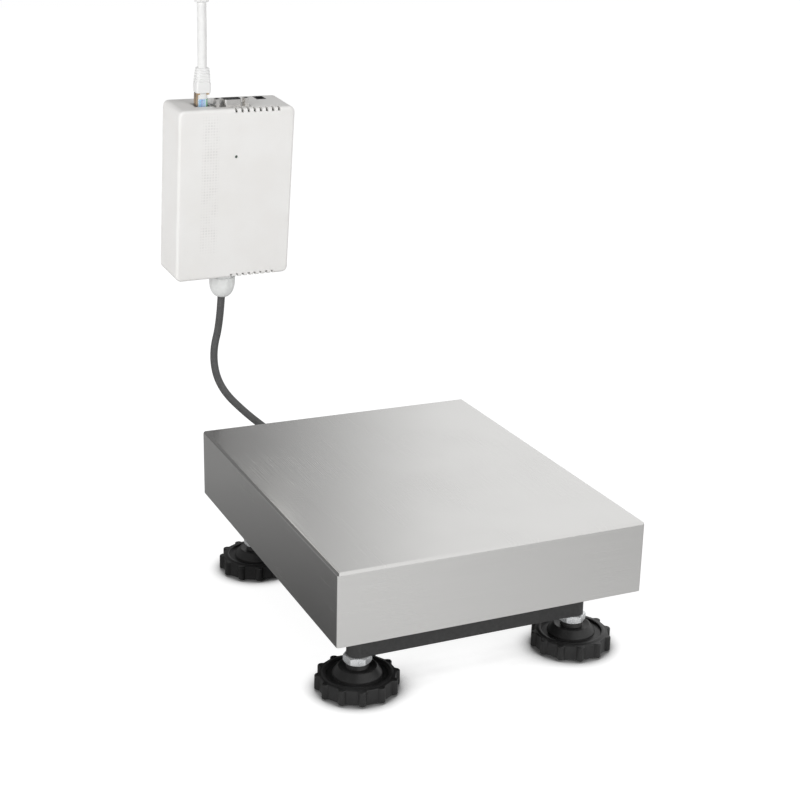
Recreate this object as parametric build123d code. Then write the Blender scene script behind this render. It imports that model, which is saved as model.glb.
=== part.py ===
"""Bench platform scale: steel tray on a load cell, cast base, four levelling feet, interface box.

Millimetres, +Z up. The origin is the centre of the weighing plate's top face, the front is at -Y.
"""
from build123d import *
import math
import os

os.makedirs("parts", exist_ok=True)

# Overall height, and the weighing plate folded from stainless sheet
total_height = 112.0
plate_width = 240.0
plate_depth = 300.0
plate_height = 55.0
plate_sheet = 1.2
plate_bend = 2.4
plate_corner = 2.0

# Rubber buffers under the plate
buffer_x = 95.0
buffer_radius = 9.0
buffer_height = 5.0
buffer_stem_radius = 3.9
buffer_stem_length = 5.0

# Load carrier on top of the load cell
carrier_width = 60.0
carrier_depth = 202.0
carrier_sheet = 5.0
carrier_wall = 4.0
carrier_wall_height = 9.0
arm_y = 80.0
arm_length = 216.0
arm_crown = 26.0
arm_flange = 8.0
arm_sheet = 2.5
arm_screw_x = 22.0
arm_screw_radius = 2.45

# Single-point load cell
cell_length = 130.0
cell_width = 30.0
cell_height = 22.0
cell_hole_inner = 33.0
cell_hole_pitch = 18.0
cell_screw_radius = 2.95
cell_screw_depth = 12.0
cell_bean_radius = 7.6
cell_bean_pitch = 27.0
cell_bean_slot = 5.0
spacer_height = 3.0
spacer_length = 38.0

# Cast crossbars and the folded beam between them
foot_pitch_x = 175.4
foot_pitch_y = 219.0
bar_width = 16.0
bar_height = 22.0
bar_wall = 3.0
bar_crown = 4.0
bar_rise = 2.0
bar_edge = 1.6
boss_radius = 9.0
boss_height = 25.0
base_clearance = 28.0
beam_width = 64.0
beam_sheet = 4.0
beam_wall_height = 18.0
beam_bend = 4.0
beam_screw_x = 20.0
beam_screw_radius = 2.95
beam_screw_depth = 12.0
beam_pad_radius = 6.0

# Overload stops between the beam and the carrier
stop_x = 21.0
stop_y = 82.0
stop_radius = 3.95
stop_flats = 13.0
stop_head = 5.3
stop_nut = 6.5
stop_gap = 0.7
stop_reach = 5.0

# Bubble level on the front crossbar
level_x = 60.0
level_radius = 7.4
level_height = 8.0
level_wall = 1.4
level_floor = 2.0

# Levelling feet
foot_radius = 29.8
foot_body_radius = 27.4
foot_lobes = 12
lobe_radius = 2.7
lobe_blend = 1.6
foot_lift = 1.2
foot_rim_height = 9.4
lip_radius = 24.4
lip_width = 1.7
lip_height = 11.2
groove_height = 9.9
cone_radius = 18.4
cone_foot_height = 12.6
cone_top_radius = 14.0
cone_top_height = 17.4
neck_radius = 10.4
stud_radius = 5.95
stud_reach = 22.0
stud_head_flats = 18.0
stud_head_height = 4.5
nut_flats = 18.3
nut_height = 6.0
pad_radius = 22.0
pad_height = 2.0
pad_boss_radius = 8.0
pad_boss_height = 6.0

# Cable gland on the rear crossbar and the cell's lead
base_gland_flats = 17.0
base_gland_flange = 4.0
base_gland_cap_radius = 8.2
base_gland_cap_length = 13.0
base_gland_thread = 6.0
gland_height = 41.0
cable_radius = 3.25
lead_radius = 2.2
lead_bend = 17.0
lead_slot_length = 30.0
cable_seat = 2.0

# Interface box, in its own frame with its front at -Y
box_width = 101.0
box_depth = 40.0
box_height = 145.0
box_wall = 2.5
box_corner = 5.0
box_face_edge = 2.4
box_split = 6.0
box_centre = (-76.5, 222.0, 117.2)
box_pitch = 7.0
box_yaw = 3.95
vent_count = 8
vent_pitch = 5.35
vent_first = -1.5
vent_width = 2.3
vent_depth = 5.5
vent_drop = 3.2
light_x = -0.5
light_z = 105.2
light_radius = 1.3
case_screw_radius = 1.45
case_screw_inset = 8.0
case_post_radius = 3.6
board_thickness = 1.6
board_post_radius = 3.0
board_post_x = 34.0

# Sockets in the box's top
network_x = -25.0
network_y = -2.0
network_width = 16.0
network_depth = 14.0
network_length = 21.0
plug_width = 11.7
plug_depth = 8.0
plug_insert = 11.5
plug_show = 12.0
latch_width = 6.2
latch_sheet = 1.0
boot_width = 14.5
boot_depth = 12.0
boot_length = 21.0
boot_neck = 9.6
boot_ribs = 5
boot_grip = 7.0
patch_radius = 3.7
patch_lead = 16.0
patch_rise = (-0.6, -1.4, 58.0)
serial_x = -2.0
serial_y = -9.0
serial_shell_width = 16.9
serial_shell_depth = 8.4
serial_shell_height = 6.0
serial_slope = 10.0
serial_corner = 2.0
serial_sheet = 0.5
serial_flange_width = 30.8
serial_flange_depth = 12.5
serial_flange_sheet = 0.9
serial_screw_pitch = 24.99
serial_standoff_flats = 5.0
serial_standoff_height = 5.4
serial_thread_radius = 1.4
serial_thread_depth = 4.6
serial_body_height = 9.0
pin_radius = 0.55
pin_pitch = 2.77
pin_row_pitch = 2.84
power_x = 31.5
power_width = 9.0
power_depth = 11.0
power_length = 14.0
power_bore = 3.1
power_pin = 1.0
power_bore_depth = 9.5

# Gland under the box
gland_x = -1.5
gland_flats = 20.0
gland_flange = 3.0
gland_cap_radius = 11.0
gland_cap_length = 12.0
gland_thread = 7.9
gland_nut_flats = 22.0
gland_nut_height = 4.5

# Cap screws: edge radius of the head, and the key's size and depth as a share of the head
screw_edge = 0.5
screw_key = 0.5

# Clearances
running = 0.05
seat_gap = 0.3
cable_fit = 0.05

# Heights that follow from the stack
floor_z = -total_height
boss_z = floor_z + base_clearance
bar_z = boss_z + bar_rise
bar_top = bar_z + bar_height
beam_top = bar_top + beam_sheet
cell_z = beam_top + spacer_height
cell_top = cell_z + cell_height
carrier_z = cell_top + spacer_height
carrier_top = carrier_z + carrier_sheet
buffer_z = -plate_sheet - buffer_height
arm_height = buffer_z - carrier_top
foot_top = base_clearance - nut_height - seat_gap
bar_y = foot_pitch_y / 2
bar_inner = bar_y - bar_width / 2
bar_outer = bar_y + bar_width / 2
cell_holes = (cell_hole_inner, cell_hole_inner + cell_hole_pitch)
spacer_y = cell_hole_inner + cell_hole_pitch / 2
board_y = box_split - 1.0

box_place = Pos(*box_centre) * Rot(0, 0, box_yaw) * Rot(box_pitch, 0, 0)
LOW = (Align.CENTER, Align.CENTER, Align.MIN)
HIGH = (Align.CENTER, Align.CENTER, Align.MAX)


def rod(radius, x, y, low, high):
    """Round bar along Z between two heights."""
    return Pos(x, y, low) * Cylinder(radius, high - low, align=LOW)


def block(width, depth, low, high, x=0.0, y=0.0):
    """Plain block between two heights."""
    return Pos(x, y, low) * Box(width, depth, high - low, align=LOW)


def hexagon(flats, low, high, x=0.0, y=0.0, turn=0.0):
    """Hexagonal prism with the corners turned off at both ends."""
    corner = flats / math.sqrt(3)
    height = high - low
    bevel = min(0.14 * flats, height / 2) * 0.5
    prism = extrude(RegularPolygon(corner, 6), height)
    outline = Polyline(
        (0, 0), (corner - bevel, 0), (corner, bevel * 0.58), (corner, height - bevel * 0.58),
        (corner - bevel, height), (0, height), close=True,
    )
    turned = revolve(Plane.XZ * make_face(outline), Axis.Z)
    return Pos(x, y, low) * Rot(0, 0, turn) * (prism & turned)


def turned(points):
    """Solid of revolution about Z from (radius, height) points."""
    return revolve(Plane.XZ * make_face(Polyline(*points, close=True)), Axis.Z)


def screw(radius, head_radius, head_height, x, y, seat, length, up=1):
    """Cap screw: its head stands on the seat and its shank runs the other way."""
    head = fillet(rod(head_radius, 0, 0, 0, head_height).edges().group_by(Axis.Z)[-1], screw_edge)
    shank = rod(radius, 0, 0, -length, 0)
    key = extrude(RegularPolygon(head_radius * screw_key, 6), head_height)
    body = head + shank - Pos(0, 0, head_height * (1 - screw_key)) * key
    flip = Rot(0, 0, 0) if up > 0 else Rot(180, 0, 0)
    return Pos(x, y, seat) * flip * body


def write(name, shape):
    """One STEP file per sub-part."""
    solids = shape if isinstance(shape, list) else [shape]
    bodies = []
    for item in solids:
        bodies += list(item.solids())
    part = bodies[0] if len(bodies) == 1 else Compound(children=bodies)
    part.label = name
    export_step(part, f"parts/{name}.step")


# Weighing plate
def weighing_plate():
    outer = block(plate_width, plate_depth, -plate_height, 0)
    outer = fillet(outer.edges().filter_by(Axis.Z), plate_corner)
    outer = fillet(outer.edges().group_by(Axis.Z)[-1], plate_bend)
    inner_width = plate_width - 2 * plate_sheet
    inner_depth = plate_depth - 2 * plate_sheet
    inner = block(inner_width, inner_depth, -plate_height - 1, -plate_sheet)
    inner = fillet(inner.edges().filter_by(Axis.Z), plate_corner - plate_sheet)
    inner = fillet(inner.edges().group_by(Axis.Z)[-1], plate_bend - plate_sheet)
    return outer - inner


def plate_buffers():
    """Rubber buffers: a domed pad with a stem and a snap-in bulb below the arm's crown."""
    made = []
    for sx in (-1, 1):
        for sy in (-1, 1):
            pad = rod(buffer_radius, 0, 0, 0, buffer_height)
            pad = fillet(pad.edges().group_by(Axis.Z)[-1], 1.0)
            stem = rod(buffer_stem_radius, 0, 0, -buffer_stem_length, 0)
            bulb_low = -buffer_stem_length
            bulb = turned((
                (0, bulb_low), (buffer_stem_radius - 0.6, bulb_low),
                (buffer_stem_radius + 0.9, -arm_sheet - 0.6), (buffer_stem_radius + 0.9, -arm_sheet - 0.1),
                (0, -arm_sheet - 0.1),
            ))
            made.append(Pos(sx * buffer_x, sy * arm_y, buffer_z) * (pad + stem + bulb))
    return made


# Load carrier
def carrier_beam():
    """Folded plate on the cell: flat between the arms' seats, walls turned up in the middle."""
    plate = block(carrier_width, carrier_depth, carrier_z, carrier_top)
    wall_length = 2 * (arm_y - arm_crown / 2 - arm_flange) - 4
    wall_top = carrier_top + carrier_wall_height
    for side in (-1, 1):
        wall_x = side * (carrier_width - carrier_wall) / 2
        wall = block(carrier_wall, wall_length, carrier_top, wall_top, x=wall_x)
        wall = chamfer(wall.edges().group_by(Axis.Z)[-1].filter_by(Axis.X), carrier_wall_height * 0.6)
        plate += wall
    plate = fillet(plate.edges().filter_by(Axis.Z).group_by(Axis.Y)[0], 6)
    plate = fillet(plate.edges().filter_by(Axis.Z).group_by(Axis.Y)[-1], 6)
    for y in cell_holes:
        plate -= rod(cell_screw_radius + running, 0, -y, carrier_z - 1, carrier_top + 1)
    for x, y in arm_screw_places():
        plate -= rod(arm_screw_radius, x, y, carrier_z - 1, carrier_top + 1)
    return plate


def arm_screw_places():
    offset = (arm_crown + arm_flange) / 2
    rows = [side * arm_y + way * offset for side in (-1, 1) for way in (-1, 1)]
    return [(sx * arm_screw_x, y) for sx in (-1, 1) for y in rows]


def carrier_arm(side):
    """Pressed hat channel across the carrier, with a hole for each buffer."""
    half = arm_crown / 2
    out = half + arm_flange
    profile = Polyline(
        (-out, 0), (-half + arm_sheet, 0), (-half + arm_sheet, arm_height - arm_sheet),
        (half - arm_sheet, arm_height - arm_sheet), (half - arm_sheet, 0), (out, 0),
        (out, arm_sheet), (half, arm_sheet), (half, arm_height), (-half, arm_height),
        (-half, arm_sheet), (-out, arm_sheet), close=True,
    )
    face = Plane.YZ * make_face(profile)
    arm = extrude(face, arm_length / 2, both=True)
    crown_edges = arm.edges().filter_by(Axis.X).group_by(Axis.Z)[-1]
    arm = fillet(crown_edges, arm_sheet)
    for x in (-buffer_x, buffer_x):
        arm -= rod(buffer_stem_radius, x, 0, arm_height - arm_sheet - 1, arm_height + 1)
    arm = Pos(0, side * arm_y, carrier_top) * arm
    for x, y in arm_screw_places():
        if y * side > 0:
            arm -= rod(arm_screw_radius + running, x, y, carrier_top - 1, carrier_top + arm_sheet + 1)
    return arm


def arm_screws():
    seat = carrier_top + arm_sheet
    length = arm_sheet + carrier_sheet - seat_gap
    return [screw(arm_screw_radius, 4.0, 3.0, x, y, seat, length) for x, y in arm_screw_places()]


# Load cell and what clamps it
def load_cell():
    """Aluminium bar with the two joined bores that make its bending beams."""
    bar = block(cell_width, cell_length, cell_z, cell_top)
    bar = chamfer(bar.edges().filter_by(Axis.X), 0.6)
    middle = (cell_z + cell_top) / 2
    bores = [Pos(way * cell_bean_pitch / 2, 0) * Circle(cell_bean_radius) for way in (-1, 1)]
    bean = bores[0] + bores[1] + Rectangle(cell_bean_pitch, cell_bean_slot)
    cut = extrude(Plane.YZ * bean, cell_width, both=True)
    bar -= Pos(0, 0, middle) * cut
    for y in cell_holes:
        for side in (-1, 1):
            bar -= rod(cell_screw_radius + running, 0, side * y, cell_z - 1, cell_top + 1)
    return bar


def cell_spacer(side, low):
    spacer = block(cell_width, spacer_length, low, low + spacer_height, y=side * spacer_y)
    for y in cell_holes:
        spacer -= rod(cell_screw_radius + running, 0, side * y, low - 1, low + spacer_height + 1)
    return spacer


def cell_screws(side):
    """Screws from below hold the rear end, and screws from above hold the carrier at the front."""
    up = -side
    seat = bar_top if side > 0 else carrier_top
    sheet = beam_sheet if side > 0 else carrier_sheet
    length = sheet + spacer_height + cell_screw_depth
    return [screw(cell_screw_radius, 5.0, 5.5, 0, side * y, seat, length, up) for y in cell_holes]


# Base frame
def crossbar(side):
    """Cast channel open below, with a boss for a foot's stud at each end."""
    bar = block(foot_pitch_x, bar_width, bar_z, bar_top)
    bar = fillet(bar.edges().filter_by(Axis.X), bar_edge)
    inner_length = foot_pitch_x - 2 * boss_radius - 2 * bar_wall
    bar -= block(inner_length, bar_width - 2 * bar_wall, bar_z - 1, bar_top - bar_crown)
    for x in (-beam_screw_x, beam_screw_x):
        bar += rod(beam_pad_radius, x, 0, bar_top - beam_screw_depth - 3, bar_top)
    for x in (-foot_pitch_x / 2, foot_pitch_x / 2):
        boss = rod(boss_radius, x, 0, boss_z, boss_z + boss_height)
        bar += chamfer(boss.edges().group_by(Axis.Z)[-1], 1.2)
    for x in (-foot_pitch_x / 2, foot_pitch_x / 2):
        bar -= rod(stud_radius + running, x, 0, boss_z - 1, boss_z + boss_height + 1)
    for x in (-beam_screw_x, beam_screw_x):
        bar -= rod(beam_screw_radius, x, 0, bar_top - beam_screw_depth - 1, bar_top + 1)
    return Pos(0, side * bar_y, 0) * bar


def rear_crossbar():
    bar = crossbar(1)
    hole = Pos(0, bar_y, floor_z + gland_height) * Rot(90, 0, 0)
    bar -= hole * Pos(0, 0, -bar_width / 2) * Cylinder(base_gland_thread, bar_wall * 3)
    bar -= hole * Pos(0, 0, bar_width / 2) * Cylinder(lead_radius + 2, bar_wall * 3)
    return bar


def base_beam():
    """Folded channel between the crossbars; its top sheet laps over them."""
    span = 2 * bar_inner
    wall_low = bar_top - beam_wall_height
    body = block(beam_width, span, wall_low, beam_top)
    body = fillet(body.edges().filter_by(Axis.Y).group_by(Axis.Z)[-1], beam_bend)
    body -= block(beam_width - 2 * beam_sheet, span + 2, wall_low - 1, bar_top)
    lap = block(beam_width - 2 * beam_bend, 2 * bar_outer - 2, bar_top, beam_top)
    body += fillet(lap.edges().filter_by(Axis.Z), 5)
    for x in (-beam_screw_x, beam_screw_x):
        for y in (-bar_y, bar_y):
            body -= rod(beam_screw_radius + running, x, y, bar_top - 1, beam_top + 1)
    for y in cell_holes:
        body -= rod(cell_screw_radius + running, 0, y, bar_top - 1, beam_top + 1)
    for x in (-stop_x, stop_x):
        for y in (-stop_y, stop_y):
            body -= rod(stop_radius, x, y, bar_top - 1, beam_top + 1)
    slot = extrude(SlotOverall(lead_slot_length, 2 * lead_radius + 4, rotation=90), beam_sheet + 2)
    body -= Pos(0, cell_length / 2 + lead_bend, bar_top - 1) * slot
    return body


def beam_screws():
    places = [(sx * beam_screw_x, sy * bar_y) for sx in (-1, 1) for sy in (-1, 1)]
    length = beam_sheet + beam_screw_depth
    return [screw(beam_screw_radius, 5.0, 5.5, x, y, beam_top, length) for x, y in places]


def overload_stops():
    """Bolts screwed down through the beam; the carrier lands on their heads when overloaded."""
    top = carrier_z - stop_gap
    made = []
    for x in (-stop_x, stop_x):
        for y in (-stop_y, stop_y):
            head = hexagon(stop_flats, top - stop_head, top, x, y)
            made.append(head + rod(stop_radius, x, y, bar_top - stop_reach, top - stop_head))
    return made


def overload_nuts():
    made = []
    for x in (-stop_x, stop_x):
        for y in (-stop_y, stop_y):
            nut = hexagon(stop_flats, beam_top, beam_top + stop_nut, x, y)
            made.append(nut - rod(stop_radius, x, y, beam_top - 1, beam_top + stop_nut + 1))
    return made


def level_cup():
    cup = rod(level_radius, level_x, -bar_y, bar_top, bar_top + level_height)
    cup = chamfer(cup.edges().group_by(Axis.Z)[-1], 0.5)
    inside = level_radius - level_wall
    return cup - rod(inside, level_x, -bar_y, bar_top + level_floor, bar_top + level_height + 1)


def level_glass():
    radius = level_radius - level_wall
    glass = rod(radius, level_x, -bar_y, bar_top + level_floor, bar_top + level_height - 0.6)
    return fillet(glass.edges().group_by(Axis.Z)[-1], 1.2)


# Levelling feet
def foot_wheel(x, y, stud):
    """Moulded foot: lobed rim, raised lip, groove, cone and neck, hollow below for its pad."""
    rim = Circle(foot_body_radius)
    reach = foot_radius - lobe_radius
    for index in range(foot_lobes):
        angle = math.radians(360 / foot_lobes * (index + 0.5))
        rim += Pos(reach * math.cos(angle), reach * math.sin(angle)) * Circle(lobe_radius)
    rim = fillet(rim.vertices(), lobe_blend)
    body = extrude(rim, foot_rim_height - foot_lift)
    body = fillet(body.edges().group_by(Axis.Z)[-1], 0.9)
    body = Pos(0, 0, foot_lift) * body
    crown = turned((
        (0, foot_lift + 1), (lip_radius + 1.4, foot_lift + 1), (lip_radius + 1.4, foot_rim_height - 0.4),
        (lip_radius, lip_height), (lip_radius - lip_width, lip_height),
        (lip_radius - lip_width - 0.5, groove_height), (cone_radius + 0.4, groove_height),
        (cone_radius, cone_foot_height), (cone_top_radius, cone_top_height),
        (neck_radius + 0.8, cone_top_height + 0.2), (neck_radius, foot_top), (0, foot_top),
    ))
    body += crown
    recess_top = pad_height + seat_gap
    body -= rod(pad_radius + seat_gap, 0, 0, 0, recess_top)
    body -= rod(pad_boss_radius + running, 0, 0, 0, pad_boss_height + seat_gap)
    return Pos(x, y, floor_z) * body - stud


def foot_stud(x, y):
    """Threaded stud with a hexagonal head moulded into the foot."""
    head_low = floor_z + pad_boss_height + seat_gap + 0.7
    head = hexagon(stud_head_flats, head_low, head_low + stud_head_height, x, y)
    top = boss_z + stud_reach
    shank = rod(stud_radius, x, y, head_low + stud_head_height, top)
    return head + chamfer(shank.edges().group_by(Axis.Z)[-1], 1.0)


def foot_pad(x, y):
    """Rubber sole with a boss that the foot turns on."""
    disc = rod(pad_radius, 0, 0, 0, pad_height)
    disc = chamfer(disc.edges().group_by(Axis.Z)[0], 0.5)
    tread = [Circle(radius + 0.6) - Circle(radius - 0.6) for radius in (12.0, 17.0)]
    for ring in tread:
        disc -= extrude(ring, 0.5)
    return Pos(x, y, floor_z) * (disc + rod(pad_boss_radius, 0, 0, pad_height, pad_boss_height))


def lock_nuts():
    made = []
    for sx in (-1, 1):
        for sy in (-1, 1):
            x = sx * foot_pitch_x / 2
            y = sy * foot_pitch_y / 2
            nut = hexagon(nut_flats, boss_z - nut_height, boss_z, x, y, turn=30)
            made.append(nut - rod(stud_radius + running, x, y, boss_z - nut_height - 1, boss_z + 1))
    return made


# Cables
def cord(name, points, radius):
    """Round tube along straight runs joined by the largest tangent arcs that the runs allow."""
    path_points = [Vector(*p) for p in points]
    radii = []
    for before, at, after in zip(path_points, path_points[1:], path_points[2:]):
        run_in = at - before
        run_out = after - at
        turn = math.radians(run_in.get_angle(run_out))
        radii.append(0.45 * min(run_in.length, run_out.length) / math.tan(turn / 2))
    path = FilletPolyline(*path_points, radius=radii)
    section = Plane(origin=path @ 0, z_dir=path % 0) * Circle(radius)
    tube = sweep(section, path)
    expected = math.pi * radius ** 2 * path.length
    shown = ", ".join(f"{value:.0f}" for value in radii)
    print(f"{name}: length {path.length:.1f}, radii {shown}, volume ratio {tube.volume / expected:.5f}")
    return tube


def in_box(x, y, z):
    """Point of the interface box's own frame, in the scale's frame."""
    return tuple((box_place * Pos(x, y, z)).position)


def platform_cable():
    """Strain-gauge cable from the box's gland down behind the plate and into the rear crossbar."""
    start = (gland_x, 0, -5.0)
    below = (gland_x, 0, -46.0)
    points = [
        in_box(*start), in_box(*below), (-86.5, 229, 40), (-82, 224, 11), (-62, 209, -12),
        (-37, 190, -32), (-12, 180, -57), (0, 155, floor_z + gland_height),
        (0, bar_outer - cable_seat, floor_z + gland_height),
    ]
    return cord("platform_cable", points, cable_radius)


def cell_lead():
    """Inner lead from the gland through the crossbar and the beam to the cell's end face."""
    low = floor_z + gland_height
    high = (cell_z + cell_top) / 2
    end = cell_length / 2
    points = [
        (0, bar_outer - cable_seat, low), (0, bar_inner - 4, low), (0, end + lead_bend, high),
        (0, end, high),
    ]
    return cord("cell_lead", points, lead_radius)


def patch_route():
    """Points of the network cable: out of its boot along the box, then straight up."""
    boot_low = box_height + plug_show - boot_grip
    start = in_box(network_x, network_y, boot_low + boot_grip)
    out = Vector(*in_box(network_x, network_y, boot_low + boot_length + patch_lead))
    top = out + Vector(*patch_rise)
    return [start, tuple(out), tuple(top)]


def network_cable():
    return cord("network_cable", patch_route(), patch_radius)


# Network plug and boot, in their own frame with the contacts down
def plug_body():
    """Clear plug: a block with the contact slots and the long latch on its back."""
    total = plug_insert + plug_show
    body = block(plug_width, plug_depth - 1.5, 0, total)
    body = chamfer(body.edges().group_by(Axis.Z)[0], 0.4)
    for index in range(8):
        x = (index - 3.5) * 1.02
        body -= block(0.55, 1.2, -1, 6.0, x=x, y=plug_depth / 2 - 1.0)
    latch_y = -(plug_depth - 1.5) / 2 - 0.75
    body += block(latch_width, 1.5, 0, 2.0, y=latch_y)
    body += block(latch_width * 0.55, latch_sheet, 1.0, total - boot_grip - 0.5, y=latch_y - 0.2)
    return body


def plug_boot():
    """Tapered strain relief with grooves round its neck, over the plug's rear end."""
    lower = block(boot_width, boot_depth, 0, boot_length * 0.36)
    lower = fillet(lower.edges().filter_by(Axis.Z), 2.2)
    base = Plane.XY.offset(boot_length * 0.36) * RectangleRounded(boot_width, boot_depth, 2.2)
    top = Plane.XY.offset(boot_length) * RectangleRounded(boot_neck + 1.2, boot_neck, 3.4)
    boot = lower + loft([base, top])
    step = boot_length * 0.56 / boot_ribs
    for index in range(boot_ribs):
        z = boot_length * 0.42 + index * step
        outer = block(boot_width + 2, boot_depth + 2, z, z + 0.8)
        share = (index + 0.5) / boot_ribs
        core_width = boot_width - 2.4 - share * (boot_width - boot_neck - 1.2)
        core_depth = boot_depth - 2.2 - share * (boot_depth - boot_neck)
        core = block(core_width, core_depth, z, z + 0.8)
        boot -= outer - fillet(core.edges().filter_by(Axis.Z), 2.2)
    boot -= rod(patch_radius + cable_fit, 0, 0, boot_grip, boot_length + 1)
    return boot - block(plug_width, plug_depth - 1.5, -1, boot_grip)


def plug_set():
    """Plug and boot as a pair, the plug's rear end held in the boot."""
    total = plug_insert + plug_show
    return plug_body(), Pos(0, 0, total - boot_grip) * plug_boot()


# Interface box
def box_blank(inset=0.0):
    """Rounded outer form of the box, or the room inside it."""
    width = box_width - 2 * inset
    depth = box_depth - 2 * inset
    body = block(width, depth, inset, box_height - inset)
    body = fillet(body.edges().filter_by(Axis.Y), box_corner - inset)
    faces = body.edges().group_by(Axis.Y)
    edge = box_face_edge if inset == 0 else max(box_face_edge - inset, 0.4)
    body = fillet(faces[0], edge)
    return fillet(body.edges().group_by(Axis.Y)[-1], edge)


def vent_cuts():
    cuts = []
    front = -box_depth / 2
    for index in range(vent_count):
        x = vent_first + index * vent_pitch
        for low, high in ((box_height - vent_drop, box_height + 1), (-1, vent_drop)):
            cut = block(vent_width, vent_depth + 1, low, high, x=x, y=front + (vent_depth - 1) / 2)
            cuts.append(cut)
    return cuts


def d_outline(width, depth):
    """Trapezium with rounded corners, as on a D-shaped connector."""
    drop = depth * math.tan(math.radians(serial_slope))
    half = width / 2
    shape = Polygon(
        (-half, depth / 2), (-half + drop, -depth / 2), (half - drop, -depth / 2), (half, depth / 2),
        align=None,
    )
    return fillet(shape.vertices(), serial_corner)


def case_post_places():
    x = box_width / 2 - case_screw_inset
    return [(sx * x, z) for sx in (-1, 1) for z in (case_screw_inset, box_height - case_screw_inset)]


def board_post_places():
    return [(sx * board_post_x, box_height * share) for sx in (-1, 1) for share in (0.2, 0.55)]


def along_y(radius, x, z, low, high):
    """Round bar along Y between two depths."""
    return Pos(x, low, z) * Rot(-90, 0, 0) * Cylinder(radius, high - low, align=LOW)


def box_shell(front):
    """One half of the moulded case, split across the depth."""
    shell = box_blank() - box_blank(box_wall)
    span = box_depth + 2
    middle = box_split - span / 2 if front else box_split + span / 2
    keep = block(box_width + 2, span, -1, box_height + 1, y=middle)
    shell &= keep
    inner_front = -box_depth / 2 + box_wall
    inner_back = box_depth / 2 - box_wall
    for x, z in case_post_places():
        low, high = (inner_front, box_split) if front else (box_split, inner_back)
        shell += along_y(case_post_radius, x, z, low - 0.5 * front, high + 0.5 * (not front))
    for cut in vent_cuts() if front else []:
        shell -= cut
    return shell


def box_front():
    shell = box_shell(True)
    shell -= along_y(light_radius, light_x, light_z, -box_depth / 2 - 1, -box_depth / 2 + box_wall + 1)
    for x, z in case_post_places():
        shell -= along_y(case_screw_radius, x, z, box_split - 14, box_split + 1)
    top_low = box_height - box_wall - 1
    shell -= block(network_width, network_depth, top_low, box_height + 1, x=network_x, y=network_y)
    serial_low = Pos(serial_x, serial_y, top_low)
    shell -= serial_low * extrude(d_outline(serial_shell_width + 1, serial_shell_depth + 1), box_wall + 2)
    for side in (-1, 1):
        x = serial_x + side * serial_screw_pitch / 2
        shell -= rod(serial_thread_radius + 0.3, x, serial_y, top_low, box_height + 1)
    shell -= rod(gland_thread + running, gland_x, 0, -1, box_wall + 1)
    return shell


def box_back():
    shell = box_shell(False)
    outer = box_depth / 2
    for x, z in case_post_places():
        shell -= along_y(case_screw_radius + 0.1, x, z, box_split - 1, outer + 1)
        shell -= along_y(3.0, x, z, outer - 2.2, outer + 1)
    for x, z in board_post_places():
        post = along_y(board_post_radius, x, z, board_y + board_thickness, outer - box_wall + 0.5)
        shell += post
    top_low = box_height - box_wall - 1
    shell -= block(power_width, power_depth, top_low, box_height + 1, x=power_x, y=power_y())
    shell -= rod(gland_thread + running, gland_x, 0, -1, box_wall + 1)
    return shell


def power_y():
    return board_y + board_thickness + power_depth / 2


def case_screws():
    made = []
    seat = box_depth / 2 - 2.2
    for x, z in case_post_places():
        body = screw(case_screw_radius, 2.7, 1.7, 0, 0, 0, seat - box_split + 10)
        made.append(Pos(x, seat, z) * Rot(-90, 0, 0) * body)
    return made


def circuit_board():
    low = box_wall + gland_nut_height + 5
    high = box_height - box_wall - 0.4
    board = block(box_width - 2 * (box_wall + case_post_radius * 2 + 3), board_thickness, low, high,
                  y=board_y + board_thickness / 2)
    for x, z in board_post_places():
        board -= along_y(0.9, x, z, board_y - 1, board_y + board_thickness + 1)
    return board


def network_jack():
    """Shielded socket; its back lies on the board and its mouth opens through the case."""
    top = box_height - 0.4
    low = top - network_length
    depth = board_y - (network_y - network_depth / 2) - 0.4
    middle = (board_y + network_y - network_depth / 2 + 0.4) / 2
    body = block(network_width - 0.6, depth, low, top, x=network_x, y=middle)
    mouth = block(plug_width + 0.4, plug_depth + 1.4, box_height - plug_insert - seat_gap, top + 1,
                  x=network_x, y=network_y - 0.4)
    return body - mouth


def serial_shell():
    """Zinc flange and D-shaped rim of the nine-pin connector."""
    flange = block(serial_flange_width, serial_flange_depth, 0, serial_flange_sheet)
    flange = fillet(flange.edges().filter_by(Axis.Z), 1.5)
    rim = extrude(d_outline(serial_shell_width, serial_shell_depth), serial_shell_height)
    inside = offset(d_outline(serial_shell_width, serial_shell_depth), -serial_sheet)
    hollow = extrude(inside, serial_shell_height + 2)
    shell = flange + rim - Pos(0, 0, -1) * hollow
    for side in (-1, 1):
        shell -= rod(serial_thread_radius + 0.3, side * serial_screw_pitch / 2, 0, -1, 2)
    return Pos(serial_x, serial_y, box_height) * shell


def serial_insert():
    """Black insulator with its nine sockets, and the moulded body under the panel."""
    face = offset(d_outline(serial_shell_width, serial_shell_depth), -serial_sheet - running)
    insert = extrude(face, serial_shell_height - 0.5 + box_wall + serial_body_height)
    insert = Pos(0, 0, -box_wall - serial_body_height) * insert
    top = serial_shell_height - 0.5
    for row, count in ((0.5, 5), (-0.5, 4)):
        for index in range(count):
            x = (index - (count - 1) / 2) * pin_pitch
            insert -= rod(pin_radius, x, row * pin_row_pitch, top - 4, top + 1)
    arm_low = -box_wall - serial_body_height
    reach = board_y - serial_y
    insert += block(serial_shell_width - 4, reach, arm_low, -box_wall - 3.0, y=reach / 2)
    return Pos(serial_x, serial_y, box_height) * insert


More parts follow.
